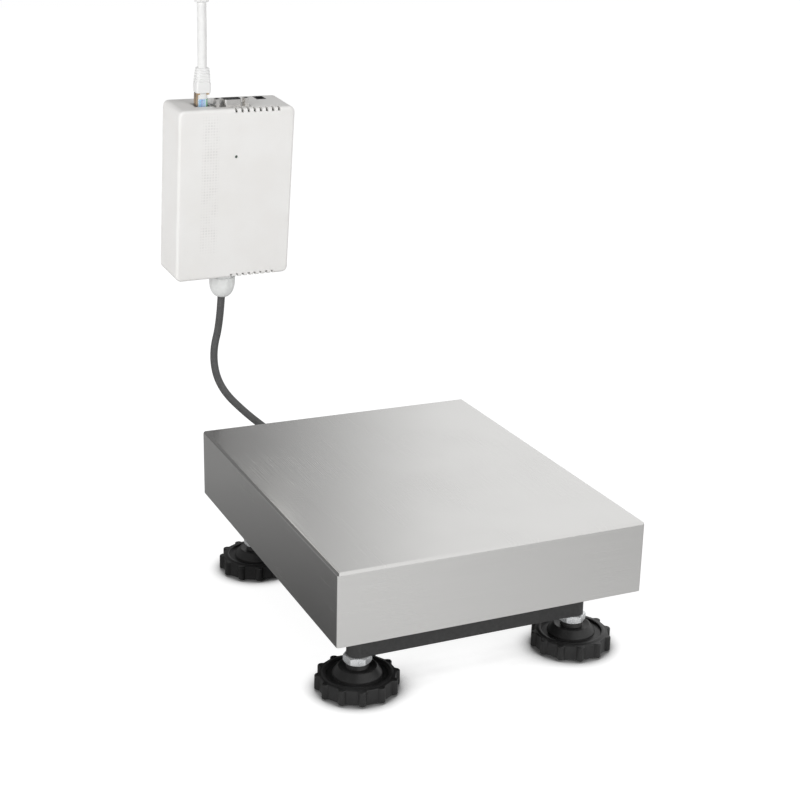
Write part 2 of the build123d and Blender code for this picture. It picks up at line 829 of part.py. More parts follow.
def serial_standoffs():
    made = []
    for side in (-1, 1):
        x = serial_x + side * serial_screw_pitch / 2
        low = box_height + serial_flange_sheet
        high = low + serial_standoff_height
        post = hexagon(serial_standoff_flats, low, high, x, serial_y)
        post += rod(serial_thread_radius, x, serial_y, box_height - box_wall - 3, low)
        made.append(post - rod(serial_thread_radius, x, serial_y, high - serial_thread_depth, high + 1))
    return made


def power_jack():
    """Square power socket with its centre pin, on the back of the board."""
    top = box_height - 0.2
    body = block(power_width - 0.3, power_depth - 0.2, top - power_length, top)
    body -= rod(power_bore, 0, 0, top - power_bore_depth, top + 1)
    pin = rod(power_pin, 0, 0, top - power_bore_depth, top - 0.8)
    return Pos(power_x, power_y() - 0.1, 0) * (body + fillet(pin.edges().group_by(Axis.Z)[-1], 0.4))


def status_light():
    front = -box_depth / 2
    pipe = along_y(light_radius - running, light_x, light_z, front + 0.5, board_y)
    return pipe


def box_gland_body():
    body = hexagon(gland_flats, -gland_flange, 0, gland_x, 0, turn=15)
    body += rod(gland_thread, gland_x, 0, 0, box_wall + gland_nut_height + 1.5)
    return body - rod(cable_radius + cable_fit, gland_x, 0, -gland_flange - 1, box_height / 2)


def box_gland_cap():
    """Domed compression nut, its lower half narrowing to the cable."""
    low = -gland_flange - gland_cap_length
    dome = turned((
        (0, -gland_flange), (gland_cap_radius, -gland_flange), (gland_cap_radius, low + 6.5),
        (gland_cap_radius - 1.4, low + 3.2), (gland_cap_radius - 4.2, low + 0.6),
        (gland_cap_radius - 5.6, low), (0, low),
    ))
    prism = extrude(RegularPolygon(gland_cap_radius * 1.06, 10), gland_cap_length)
    dome &= Pos(0, 0, low) * prism
    return Pos(gland_x, 0, 0) * (dome - rod(cable_radius + cable_fit, 0, 0, low - 1, 1))


def box_gland_nut():
    nut = hexagon(gland_nut_flats, box_wall, box_wall + gland_nut_height, gland_x, 0)
    return nut - rod(gland_thread + running, gland_x, 0, box_wall - 1, box_wall + gland_nut_height + 1)


# Gland on the base
def base_gland_body():
    flange = hexagon(base_gland_flats, 0, base_gland_flange)
    thread = rod(base_gland_thread - running, 0, 0, -bar_wall - 2, 0)
    body = flange + thread - rod(cable_radius + cable_fit, 0, 0, -bar_wall - 3, base_gland_flange + 1)
    return base_gland_place() * body


def base_gland_cap():
    high = base_gland_flange + base_gland_cap_length
    radius = base_gland_cap_radius
    dome = turned((
        (0, base_gland_flange), (radius, base_gland_flange), (radius, high - 5.5),
        (radius - 1.2, high - 2.6), (radius - 3.6, high), (0, high),
    ))
    dome &= extrude(RegularPolygon(radius * 1.06, 10), high)
    return base_gland_place() * (dome - rod(cable_radius + cable_fit, 0, 0, 0, high + 1))


def base_gland_place():
    return Pos(0, bar_outer, floor_z + gland_height) * Rot(-90, 0, 0)


write("weighing_plate", weighing_plate())
write("plate_buffers", plate_buffers())
write("carrier_beam", carrier_beam())
write("carrier_arm_front", carrier_arm(-1))
write("carrier_arm_rear", carrier_arm(1))
write("carrier_screws", arm_screws())
write("load_cell", load_cell())
write("cell_spacer_top", cell_spacer(-1, cell_top))
write("cell_spacer_bottom", cell_spacer(1, beam_top))
write("cell_screws_top", cell_screws(-1))
write("cell_screws_bottom", cell_screws(1))
write("front_crossbar", crossbar(-1))
write("rear_crossbar", rear_crossbar())
write("base_beam", base_beam())
write("beam_screws", beam_screws())
write("overload_stops", overload_stops())
write("overload_nuts", overload_nuts())
write("level_cup", level_cup())
write("level_glass", level_glass())
write("lock_nuts", lock_nuts())
for end, sy in (("front", -1), ("rear", 1)):
    for hand, sx in (("left", -1), ("right", 1)):
        foot_x = sx * foot_pitch_x / 2
        foot_y = sy * foot_pitch_y / 2
        stud = foot_stud(foot_x, foot_y)
        write(f"foot_{end}_{hand}_wheel", foot_wheel(foot_x, foot_y, stud))
        write(f"foot_{end}_{hand}_stud", stud)
        write(f"foot_{end}_{hand}_pad", foot_pad(foot_x, foot_y))

write("base_gland_body", base_gland_body())
write("base_gland_cap", base_gland_cap())
write("platform_cable", platform_cable())
write("cell_lead", cell_lead())

for name, shape in (
    ("box_front", box_front()),
    ("box_back", box_back()),
    ("case_screws", case_screws()),
    ("circuit_board", circuit_board()),
    ("network_jack", network_jack()),
    ("serial_shell", serial_shell()),
    ("serial_insert", serial_insert()),
    ("serial_standoffs", serial_standoffs()),
    ("power_jack", power_jack()),
    ("status_light", status_light()),
    ("box_gland_body", box_gland_body()),
    ("box_gland_cap", box_gland_cap()),
    ("box_gland_nut", box_gland_nut()),
):
    pieces = shape if isinstance(shape, list) else [shape]
    write(name, [box_place * piece for piece in pieces])

near_plug, near_boot = plug_set()
near_place = box_place * Pos(network_x, network_y, box_height - plug_insert)
write("network_plug", near_place * near_plug)
write("network_boot", near_place * near_boot)
write("network_cable", network_cable())

# The far plug points up, at the end of the cable
route = patch_route()
far_plug, far_boot = plug_set()
up = Vector(*route[2]) - Vector(*route[1])
far_end = Vector(*route[2]) + up.normalized() * (plug_insert + plug_show)
far_place = Plane(origin=far_end, x_dir=(1, 0, 0), z_dir=-up)
write("far_plug", far_place * far_plug)
write("far_boot", far_place * far_boot)
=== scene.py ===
"""Bench platform scale with its interface box: the finish of every piece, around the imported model.

Metres, +Z up. The origin is the centre of the weighing plate's top face and the front is at -Y.
"""
import math

import bmesh
import bpy
from mathutils import Matrix, Vector


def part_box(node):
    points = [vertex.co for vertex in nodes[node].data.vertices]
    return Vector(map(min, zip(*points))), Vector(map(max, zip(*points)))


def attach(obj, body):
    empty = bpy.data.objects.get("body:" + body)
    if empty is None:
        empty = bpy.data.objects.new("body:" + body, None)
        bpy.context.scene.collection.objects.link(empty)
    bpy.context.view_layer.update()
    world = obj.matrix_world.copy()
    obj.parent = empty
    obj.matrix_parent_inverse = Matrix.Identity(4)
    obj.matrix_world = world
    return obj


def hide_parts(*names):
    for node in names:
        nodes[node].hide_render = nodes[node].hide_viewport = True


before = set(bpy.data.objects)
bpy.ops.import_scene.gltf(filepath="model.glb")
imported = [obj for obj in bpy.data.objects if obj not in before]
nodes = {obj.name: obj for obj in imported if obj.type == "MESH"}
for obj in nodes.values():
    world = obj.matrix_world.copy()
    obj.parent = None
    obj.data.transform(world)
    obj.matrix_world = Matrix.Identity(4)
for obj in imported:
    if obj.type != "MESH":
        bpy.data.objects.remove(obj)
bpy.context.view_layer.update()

MM = 0.001

# Camera, from the photograph's perspective
CAMERA_AZIMUTH = math.radians(-25.0455)
CAMERA_RISE = math.radians(18.3451)
CAMERA_ROLL = math.radians(1.4313)
CAMERA_PLACE = Vector((-0.46565, -1.00209, 0.43190))
CAMERA_LENS = 68.615
CAMERA_SHIFT = (-0.017564, -0.008459)

# Platform
FLOOR = -0.112
PLATE_WIDTH = 0.240
PLATE_DEPTH = 0.300
PLATE_HEIGHT = 0.055
PLATE_SHEET = 0.0012
PLATE_BEND = 0.0024
PLATE_CORNER = 0.0020

# Levelling feet, heights above the floor
FOOT_X = 0.0877
FOOT_Y = 0.1095
FOOT_LOBES = 12
LOBE_RADIUS = 2.7 * MM
LOBE_REACH = 28.2 * MM
PANEL_RADIUS = 28.3 * MM
PANEL_HOLLOW = 0.45 * MM
LOBE_BLEND = 0.9 * MM
RIM_LOW = 1.2 * MM
RIM_HIGH = 12.6 * MM
RIM_EDGE = 1.0 * MM
STUD_RADIUS = 5.95 * MM
STUD_PITCH = 1.75 * MM
STUD_LOW = 11.5 * MM
STUD_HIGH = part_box("foot_front_left_stud")[1][2] - FLOOR
SOLE_TOP = 2.3 * MM
HEAD_SEAT = 6.3 * MM
HEAD_RECESS = 8.05 * MM
SKIRT_INSIDE = 22.35 * MM
SKIRT_DRAFT = 0.12 * MM
NUT_LOW = 21.4 * MM
NUT_HIGH = 27.4 * MM
NUT_FLATS = 18.3 * MM
NUT_TURN = math.radians(9.0)
FEET = {
    "front_left": (-FOOT_X, -FOOT_Y),
    "front_right": (FOOT_X, -FOOT_Y),
    "rear_left": (-FOOT_X, FOOT_Y),
    "rear_right": (FOOT_X, FOOT_Y),
}

# Crossbars, heights above the floor
BAR_LENGTH = 2 * FOOT_X
BAR_WIDTH = 16.0 * MM
BAR_LOW = 27.6 * MM
BAR_HIGH = 52.0 * MM
BAR_WALL = 3.0 * MM
BAR_CROWN = 4.0 * MM
BOSS_RADIUS = 8.2 * MM
BOSS_HIGH = 53.0 * MM
BAR_EDGE = 0.9 * MM
BAR_NOTCH = STUD_RADIUS + 0.2 * MM
BOSS_BORE = STUD_RADIUS + 0.1 * MM
BEAM_SCREW_X = 20.0 * MM
PAD_RADIUS = 6.0 * MM
PAD_HEIGHT = 15.0 * MM

# Interface box, in its own frame with its origin at the middle of its underside
BOX_CENTRE = Vector((-0.0765, 0.2220, 0.1172))
BOX_YAW = math.radians(3.95)
BOX_PITCH = math.radians(7.0)
BOX_HEIGHT = 0.145
BOX_FRONT = -0.020
BOX_PLACE = (
    Matrix.Translation(BOX_CENTRE) @ Matrix.Rotation(BOX_YAW, 4, "Z") @ Matrix.Rotation(BOX_PITCH, 4, "X")
)
STRIP_X = -23.0 * MM
STRIP_Z = 81.5 * MM
STRIP_WIDTH = 16.0 * MM
STRIP_HEIGHT = 119.0 * MM
DIAMOND_PITCH = 4.8 * MM

# Cables
CABLE_RADIUS = 3.25 * MM
LEAD_RADIUS = 2.2 * MM
PATCH_RADIUS = 3.7 * MM
GLAND_X = -1.5 * MM
GLAND_FLATS = 20.0 * MM
GLAND_FLANGE = 5.0 * MM
GLAND_CAP_RADIUS = 11.0 * MM
GLAND_CAP_LENGTH = 18.5 * MM
GLAND_THREAD = (7.85 * MM, 8.3 * MM)
REAR_GLAND_FLATS = 17.0 * MM
REAR_GLAND_FLANGE = 4.0 * MM
REAR_GLAND_CAP_RADIUS = 8.2 * MM
REAR_GLAND_CAP_LENGTH = 13.0 * MM
REAR_GLAND_THREAD = (5.9 * MM, 4.8 * MM)
GLAND_PITCH = 1.5 * MM
GLAND_HEIGHT = FLOOR + 0.041
BAR_OUTER = 0.1175

# Network plug and boot, along the plug's axis from its tip
PLUG_X = -25.0 * MM
PLUG_Y = -2.0 * MM
PLUG_INSERT = 11.5 * MM
PLUG_SHOW = 12.0 * MM
PLUG_LENGTH = PLUG_INSERT + PLUG_SHOW
BOOT_GRIP = 1.5 * MM
BOOT_LENGTH = 20.0 * MM
BOOT_RIBS = 5
WIRE_COUNT = 8
WIRE_PITCH = 1.02 * MM
WIRE_RADIUS = 0.55 * MM
WIRE_END = 16.5 * MM

# Lamps: place and power; both are disks of one size that point at the plate
LAMP_SIZE = 1.6
LAMPS = {
    "key_right": ((1.3, -2.0, 0.9), 27.0),
    "fill_left": ((-2.2, -0.9, 0.6), 36.0),
}

# World: plain light, and what metal mirrors from its dark rear left to its bright front right
BRIGHT_SIDE = (0.93, -0.37)
WORLD_DIFFUSE = 0.42
WORLD_DARK = 0.20
WORLD_EDGE = (-0.06, 0.07)

# Floor as the camera sees it: glow where it is open, and a painted shadow close to what stands on it, where
# an occlusion test dims the glow
FLOOR_REACH = 6.0
GLOW = 0.88
SHADOW_GAIN = 0.35
SHADOW_REACH = 0.038
SHADOW_DEEP = 0.48
SHADOW_CLEAR = 0.89
WHITE_FROM = 0.28
WHITE_TO = 0.9

# Floor as metal sees it: painted shade, dark to the left and back, bright ahead and to the right
FLOOR_TONE = 0.78
MIRRORED_LEFT = (0.20, 0.46)
MIRRORED_RIGHT = (1.0, 0.72)


# Camera
def make_camera():
    """Camera of the photograph: direction from the object, a small roll, lens and shift."""
    back = Vector((
        math.sin(CAMERA_AZIMUTH) * math.cos(CAMERA_RISE),
        -math.cos(CAMERA_AZIMUTH) * math.cos(CAMERA_RISE),
        math.sin(CAMERA_RISE),
    ))
    level_right = (-back).cross(Vector((0, 0, 1))).normalized()
    level_up = back.cross(level_right)
    right = level_right * math.cos(CAMERA_ROLL) + level_up * math.sin(CAMERA_ROLL)
    up = level_up * math.cos(CAMERA_ROLL) - level_right * math.sin(CAMERA_ROLL)
    turn = Matrix((right, up, back)).transposed().to_4x4()
    data = bpy.data.cameras.new("camera")
    data.sensor_width = 36.0
    data.lens = CAMERA_LENS
    data.shift_x, data.shift_y = CAMERA_SHIFT
    data.clip_start = 0.05
    data.clip_end = 50.0
    camera = bpy.data.objects.new("camera", data)
    bpy.context.scene.collection.objects.link(camera)
    camera.matrix_world = Matrix.Translation(CAMERA_PLACE) @ turn
    bpy.context.scene.camera = camera


# Shader nodes
class Finish:
    """A material under construction: adds shader nodes and links them in one step."""

    def __init__(self, name):
        self.material = bpy.data.materials.new(name)
        self.material.use_nodes = True
        self.tree = self.material.node_tree
        self.shader = self.tree.nodes["Principled BSDF"]

    def feed(self, socket, value):
        if isinstance(value, bpy.types.NodeSocket):
            self.tree.links.new(value, socket)
        elif isinstance(value, bpy.types.Node):
            self.tree.links.new(value.outputs[0], socket)
        else:
            socket.default_value = value

    def add(self, kind, inputs=None, **settings):
        node = self.tree.nodes.new("ShaderNode" + kind)
        for key, value in settings.items():
            setattr(node, key, value)
        for key, value in (inputs or {}).items():
            self.feed(node.inputs[key], value)
        return node

    def set(self, **values):
        for key, value in values.items():
            self.feed(self.shader.inputs[key.replace("_", " ")], value)
        return self.material

    def place(self):
        return self.add("TexCoord").outputs["Object"]

    def scaled(self, vector, scale):
        return self.add("Mapping", {"Vector": vector, "Scale": scale})

    def noise(self, vector, scale, detail=4.0, rough=0.55):
        inputs = {"Vector": vector, "Scale": scale, "Detail": detail, "Roughness": rough}
        return self.add("TexNoise", inputs)

    def span(self, value, low, high, start=0.0, end=1.0):
        inputs = {"Value": value, "From Min": start, "From Max": end, "To Min": low, "To Max": high}
        return self.add("MapRange", inputs)

    def math(self, operation, first, second=0.0):
        return self.add("Math", {0: first, 1: second}, operation=operation)

    def blend(self, share, first, second):
        node = self.add("Mix", data_type="RGBA")
        self.feed(node.inputs[0], share)
        colours = [socket for socket in node.inputs if socket.type == "RGBA"]
        self.feed(colours[0], first)
        self.feed(colours[1], second)
        return [socket for socket in node.outputs if socket.type == "RGBA"][0]

    def bump(self, height, strength, distance, normal=None):
        node = self.add("Bump", {"Height": height, "Strength": strength, "Distance": distance})
        if normal is not None:
            self.feed(node.inputs["Normal"], normal)
        return node


def grey(value):
    return (value, value, value, 1.0)


def moulded(name, colour, darker, roughness, grain=2600.0, depth=0.02, specular=0.5):
    """Moulded plastic: fine eroded grain, a little uneven gloss and tone."""
    finish = Finish(name)
    place = finish.place()
    fine = finish.noise(place, grain, 3.0)
    broad = finish.noise(place, 45.0, 3.0)
    tone = finish.blend(finish.span(broad, 0.0, 1.0, 0.35, 0.65), colour, darker)
    gloss = finish.span(broad, roughness - 0.05, roughness + 0.07, 0.3, 0.7)
    finish.shader.inputs["Specular IOR Level"].default_value = specular
    normal = finish.bump(fine, 0.35, depth * MM)
    return finish.set(Base_Color=tone, Roughness=gloss, Normal=normal)


def steel_sheet():
    """Stainless sheet with a fine one-way grind: along the plate on top, level on the skirt."""
    finish = Finish("plate_steel")
    place = finish.place()
    split = finish.add("SeparateXYZ", {0: finish.add("NewGeometry").outputs["Normal"]})
    up = finish.math("GREATER_THAN", finish.math("ABSOLUTE", split.outputs[2]), 0.5)
    along = finish.noise(finish.scaled(place, (2600.0, 9.0, 1.0)), 1.0, 3.0, 0.6)
    parts = finish.add("SeparateXYZ", {0: place})
    round_it = finish.math("ADD", parts.outputs[0], parts.outputs[1])
    level = finish.add("CombineXYZ", {0: round_it, 2: parts.outputs[2]})
    side = finish.noise(finish.scaled(level, (9.0, 1.0, 2600.0)), 1.0, 3.0, 0.6)
    streak = finish.add("Mix", {0: up, 2: side, 3: along}, data_type="FLOAT")
    cloud = finish.noise(place, 14.0, 3.0)
    tone = finish.blend(
        finish.span(streak, 0.0, 1.0, 0.3, 0.7), (0.685, 0.68, 0.668, 1.0), (0.735, 0.73, 0.718, 1.0)
    )
    base = finish.span(cloud, 0.22, 0.27, 0.3, 0.7)
    gloss = finish.math("ADD", base, finish.span(streak, -0.03, 0.03, 0.3, 0.7))
    normal = finish.bump(streak, 0.05, 0.01 * MM)
    return finish.set(Base_Color=tone, Metallic=1.0, Roughness=gloss, Normal=normal)


def plated(name, colour, roughness=0.24, tint=None, metallic=1.0):
    """Zinc or nickel plate: cloudy gloss, fine pits and a faint tint."""
    finish = Finish(name)
    place = finish.place()
    cloud = finish.noise(place, 90.0, 4.0, 0.5)
    fine = finish.noise(place, 1200.0, 2.0)
    tone = finish.blend(finish.span(cloud, 0.0, 1.0, 0.35, 0.65), colour, tint or colour)
    gloss = finish.span(cloud, roughness - 0.05, roughness + 0.08, 0.3, 0.7)
    return finish.set(
        Base_Color=tone, Metallic=metallic, Roughness=gloss, Normal=finish.bump(fine, 0.06, 0.01 * MM)
    )


def cast_paint(name, colour, lump=0.12):
    """Satin paint over a casting: the sand skin shows as soft lumps."""
    finish = Finish(name)
    place = finish.place()
    coarse = finish.noise(place, 420.0, 4.0, 0.6)
    fine = finish.noise(place, 2200.0, 2.0)
    height = finish.math("ADD", coarse, finish.span(fine, 0.0, 0.25))
    tone = finish.blend(
        finish.span(coarse, 0.0, 1.0, 0.3, 0.7), colour, tuple(c * 0.8 for c in colour[:3]) + (1.0,)
    )
    gloss = finish.span(coarse, 0.42, 0.58, 0.3, 0.7)
    return finish.set(Base_Color=tone, Roughness=gloss, Normal=finish.bump(height, 0.5, lump * MM))


def rubber(name, colour):
    """Dull rubber with a little dust."""
    finish = Finish(name)
    place = finish.place()
    fine = finish.noise(place, 1800.0, 4.0)
    dust = finish.noise(place, 120.0, 5.0)
    tone = finish.blend(finish.span(dust, 0.0, 1.0, 0.5, 0.8), colour, grey(colour[1] * 2.2))
    finish.shader.inputs["Specular IOR Level"].default_value = 0.3
    return finish.set(
        Base_Color=tone, Roughness=finish.span(fine, 0.72, 0.88), Normal=finish.bump(fine, 0.4, 0.03 * MM)
    )


def milled(name):
    """Milled and clear anodised aluminium: tool lines across the length."""
    finish = Finish(name)
    place = finish.place()
    lines = finish.add("TexWave", {"Vector": place, "Scale": 420.0, "Distortion": 0.6}, bands_direction="Y")
    cloud = finish.noise(place, 90.0, 4.0)
    tone = finish.blend(cloud, (0.66, 0.67, 0.68, 1.0), (0.76, 0.765, 0.77, 1.0))
    gloss = finish.span(cloud, 0.30, 0.42, 0.3, 0.7)
    return finish.set(
        Base_Color=tone, Metallic=1.0, Roughness=gloss,
        Normal=finish.bump(lines.outputs["Fac"], 0.06, 0.01 * MM),
    )


def jacket(name, colour, shade, roughness, specular=0.4):
    """Extruded cable jacket: smooth, slightly uneven, with dull patches."""
    finish = Finish(name)
    place = finish.place()
    patch = finish.noise(place, 160.0, 4.0)
    fine = finish.noise(place, 1500.0, 3.0)
    tone = finish.blend(finish.span(patch, 0.0, 1.0, 0.35, 0.65), colour, shade)
    finish.shader.inputs["Specular IOR Level"].default_value = specular
    gloss = finish.span(patch, roughness - 0.06, roughness + 0.08, 0.3, 0.7)
    return finish.set(Base_Color=tone, Roughness=gloss, Normal=finish.bump(fine, 0.25, 0.02 * MM))


def clear_plastic(name, colour, cover, roughness=0.08):
    """Clear plastic with faint flow marks: it lets most light through and shines on top."""
    finish = Finish(name)
    place = finish.place()
    flow = finish.noise(finish.scaled(place, (300.0, 300.0, 90.0)), 1.0, 2.0)
    finish.shader.inputs["IOR"].default_value = 1.5
    finish.shader.inputs["Alpha"].default_value = cover
    gloss = finish.span(flow, roughness - 0.03, roughness + 0.05, 0.3, 0.7)
    tone = finish.blend(flow, colour, tuple(c * 0.97 for c in colour[:3]) + (1.0,))
    return finish.set(Base_Color=tone, Roughness=gloss, Normal=finish.bump(flow, 0.1, 0.05 * MM))


def liquid_level():
    """Yellow-green liquid under glass."""
    finish = Finish("level_liquid")
    place = finish.place()
    cloud = finish.noise(place, 200.0, 2.0)
    finish.shader.inputs["Coat Weight"].default_value = 1.0
    finish.shader.inputs["Coat Roughness"].default_value = 0.03
    tone = finish.blend(cloud, (0.42, 0.62, 0.05, 1.0), (0.50, 0.70, 0.08, 1.0))
    return finish.set(Base_Color=tone, Roughness=finish.span(cloud, 0.04, 0.08))


def solder_mask():
    """Green circuit board with faint buried tracks."""
    finish = Finish("board_green")
    place = finish.place()
    cells = finish.add(
        "TexBrick", {"Vector": place, "Scale": 160.0, "Mortar Size": 0.03, "Mortar": (0.05, 0.27, 0.12, 1),
                     "Color1": (0.03, 0.17, 0.08, 1), "Color2": (0.035, 0.20, 0.09, 1)},
    )
    return finish.set(
        Base_Color=cells.outputs["Color"], Roughness=finish.span(cells.outputs["Fac"], 0.3, 0.4),
        Normal=finish.bump(cells.outputs["Fac"], 0.3, 0.03 * MM),
    )


def box_plastic():
    """Off-white case: fine spark-eroded grain, and a strip of small raised diamonds on the front."""
    finish = Finish("box_plastic")
    place = finish.place()
    inverse = BOX_PLACE.inverted()
    turned = finish.add("Mapping", {
        "Vector": place, "Location": inverse.to_translation(), "Rotation": inverse.to_euler(),
    })
    local = finish.add("SeparateXYZ", {0: turned})
    x, y, z = local.outputs
    # Small diamonds, worn thin towards the strip's edges
    wave = 2 * math.pi / DIAMOND_PITCH
    rising = finish.math("SINE", finish.math("MULTIPLY", finish.math("ADD", x, z), wave))
    falling = finish.math("SINE", finish.math("MULTIPLY", finish.math("SUBTRACT", x, z), wave))
    diamond = finish.span(finish.math("MULTIPLY", rising, falling), 0.0, 1.0, 0.0, 0.45)
    off_x = finish.math("ABSOLUTE", finish.math("SUBTRACT", x, STRIP_X))
    off_z = finish.math("ABSOLUTE", finish.math("SUBTRACT", z, STRIP_Z))
    in_x = finish.span(off_x, 1.0, 0.0, STRIP_WIDTH / 2 - 2 * MM, STRIP_WIDTH / 2)
    in_z = finish.span(off_z, 1.0, 0.0, STRIP_HEIGHT / 2 - 3 * MM, STRIP_HEIGHT / 2)
    on_front = finish.math("LESS_THAN", y, BOX_FRONT + 1.2 * MM)
    strip = finish.math("MULTIPLY", finish.math("MULTIPLY", in_x, in_z), on_front)
    patchy = finish.span(finish.noise(place, 110.0, 3.0), 0.25, 1.0, 0.4, 0.6)
    raised = finish.math("MULTIPLY", finish.math("MULTIPLY", diamond, strip), patchy)
    grain = finish.noise(place, 2300.0, 3.0)
    broad = finish.noise(place, 30.0, 3.0)
    tone = finish.blend(
        finish.span(broad, 0.0, 1.0, 0.35, 0.65), (0.830, 0.818, 0.800, 1.0), (0.850, 0.842, 0.828, 1.0)
    )
    tone = finish.blend(finish.span(raised, 0.0, 0.6), tone, (0.70, 0.69, 0.68, 1.0))
    skin = finish.bump(grain, 0.3, 0.03 * MM)
    normal = finish.bump(raised, 0.6, 0.15 * MM, skin)
    gloss = finish.span(broad, 0.44, 0.52, 0.3, 0.7)
    return finish.set(Base_Color=tone, Roughness=gloss, Normal=normal)


# Meshes
def piece_from(name, vertices, faces, material, smooth=32.0):
    """A mesh object with smooth shading between faces that meet at less than that angle."""
    data = bpy.data.meshes.new(name)
    data.from_pydata([tuple(v) for v in vertices], [], faces)
    build = bmesh.new()
    build.from_mesh(data)
    bmesh.ops.recalc_face_normals(build, faces=build.faces)
    build.to_mesh(data)
    build.free()
    piece = bpy.data.objects.new(name, data)
    bpy.context.scene.collection.objects.link(piece)
    data.materials.append(material)
    soften(piece, smooth)
    return piece


def soften(piece, smooth):
    """Smooth shading, sharp where faces meet at more than that angle."""
    for face in piece.data.polygons:
        face.use_smooth = True
    piece.data.set_sharp_from_angle(angle=math.radians(smooth))
    weighted = piece.modifiers.new("weighted", "WEIGHTED_NORMAL")
    weighted.keep_sharp = True


def skin(rings, caps=True):
    """Vertices and faces of the surface through rings that have the same count of points."""
    count = len(rings[0])
    vertices = [Vector(point) for ring in rings for point in ring]
    faces = []
    for row in range(len(rings) - 1):
        for step in range(count):
            low = row * count + step
            beside = row * count + (step + 1) % count
            faces.append((low, beside, beside + count, low + count))
    if caps:
        faces.append(tuple(reversed(range(count))))
        faces.append(tuple(range((len(rings) - 1) * count, len(rings) * count)))
    return vertices, faces


def channel(name, outside, inside, material, place=Matrix(), smooth=32.0):
    """Body open below: rings up its outside and its inside, each closed by a face on top."""
    outer, faces = skin(outside, caps=False)
    inner, inner_faces = skin(inside, caps=False)
    count = len(outside[0])
    shift = len(outer)
    faces.append(tuple(range(shift - count, shift)))
    faces += [tuple(shift + k for k in face) for face in inner_faces]
    faces.append(tuple(shift + len(inner) - count + k for k in range(count)))
    faces += [(k, (k + 1) % count, shift + (k + 1) % count, shift + k) for k in range(count)]
    return piece_from(name, [place @ v for v in outer + inner], faces, material, smooth)


def polar_ring(radius, height, count):
    """One ring about Z; radius is a number or a function of the angle."""
    ring = []
    for step in range(count):
        angle = 2 * math.pi * step / count
        reach = radius(angle) if callable(radius) else radius
        ring.append((reach * math.cos(angle), reach * math.sin(angle), height))
    return ring


def turned_piece(name, outline, material, place=Matrix(), count=64, smooth=32.0):
    """Piece turned about Z from (radius, height) points; a radius may be a function of the angle."""
    rings = [polar_ring(radius, height, count) for radius, height in outline]
    vertices, faces = skin(rings)
    return piece_from(name, [place @ v for v in vertices], faces, material, smooth)


def joined(name, pieces):
    """One object of several, with its materials kept."""
    with bpy.context.temp_override(
        active_object=pieces[0], selected_editable_objects=pieces, object=pieces[0], selected_objects=pieces
    ):
        bpy.ops.object.join()
    pieces[0].name = name
    return pieces[0]


def rounded_rectangle(width, depth, radius, height, steps=6):
    """Ring of a rectangle with round corners, counter-clockwise from the right side's rear corner."""
    ring = []
    for corner, (sx, sy) in enumerate(((1, 1), (-1, 1), (-1, -1), (1, -1))):
        centre_x = sx * (width / 2 - radius)
        centre_y = sy * (depth / 2 - radius)
        for step in range(steps + 1):
            angle = math.pi / 2 * (corner + step / steps)
            ring.append((centre_x + radius * math.cos(angle), centre_y + radius * math.sin(angle), height))
    return ring


def finish_piece(piece, body, slot, *replaced):
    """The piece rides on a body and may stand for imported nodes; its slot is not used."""
    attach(piece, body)
    if replaced:
        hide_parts(*replaced)
    return piece


# Weighing plate
def make_plate(steel):
    """Folded tray: the skirt's outside, the bend, the top, and the same again inside the sheet."""
    inner_bend = PLATE_BEND - PLATE_SHEET
    steps = 8

    def loop(inset, height):
        width = PLATE_WIDTH - 2 * inset
        depth = PLATE_DEPTH - 2 * inset
        return rounded_rectangle(width, depth, max(PLATE_CORNER - inset, 0.4 * MM), height, 8)

    edge = 0.15 * MM
    outside = [loop(edge, -PLATE_HEIGHT), loop(0, -PLATE_HEIGHT + edge)]
    inside = [loop(PLATE_SHEET - edge, -PLATE_HEIGHT), loop(PLATE_SHEET, -PLATE_HEIGHT + edge)]
    for step in range(steps + 1):
        angle = math.pi / 2 * step / steps
        outside.append(loop(PLATE_BEND * (1 - math.cos(angle)), -PLATE_BEND * (1 - math.sin(angle))))
        inset = PLATE_SHEET + inner_bend * (1 - math.cos(angle))
        inside.append(loop(inset, -PLATE_SHEET - inner_bend * (1 - math.sin(angle))))
    plate = channel("weighing_plate_sheet", outside, inside, steel, smooth=50.0)
    finish_piece(plate, "weighing_plate", "plate_steel", "weighing_plate")


# Levelling feet
def lobed_outline(inset=0.0):
    """Radius of the foot's rim at an angle: slightly hollow panels between twelve round lobes."""
    pitch = 2 * math.pi / FOOT_LOBES

    def radius(angle):
        turn = ((angle / pitch) % 1.0 - 0.5) * pitch
        side = abs(LOBE_REACH * math.sin(turn))
        hollow = 0.5 - 0.5 * math.cos(2 * math.pi * abs(turn) / pitch)
        panel = PANEL_RADIUS - PANEL_HOLLOW * hollow
        lobe = 0.0
        if side < LOBE_RADIUS:
            lobe = LOBE_REACH * math.cos(turn) + math.sqrt(LOBE_RADIUS ** 2 - side ** 2)
        share = max(LOBE_BLEND - abs(panel - lobe), 0.0) / LOBE_BLEND
        return max(panel, lobe) + share * share * LOBE_BLEND / 4 - inset

    return radius


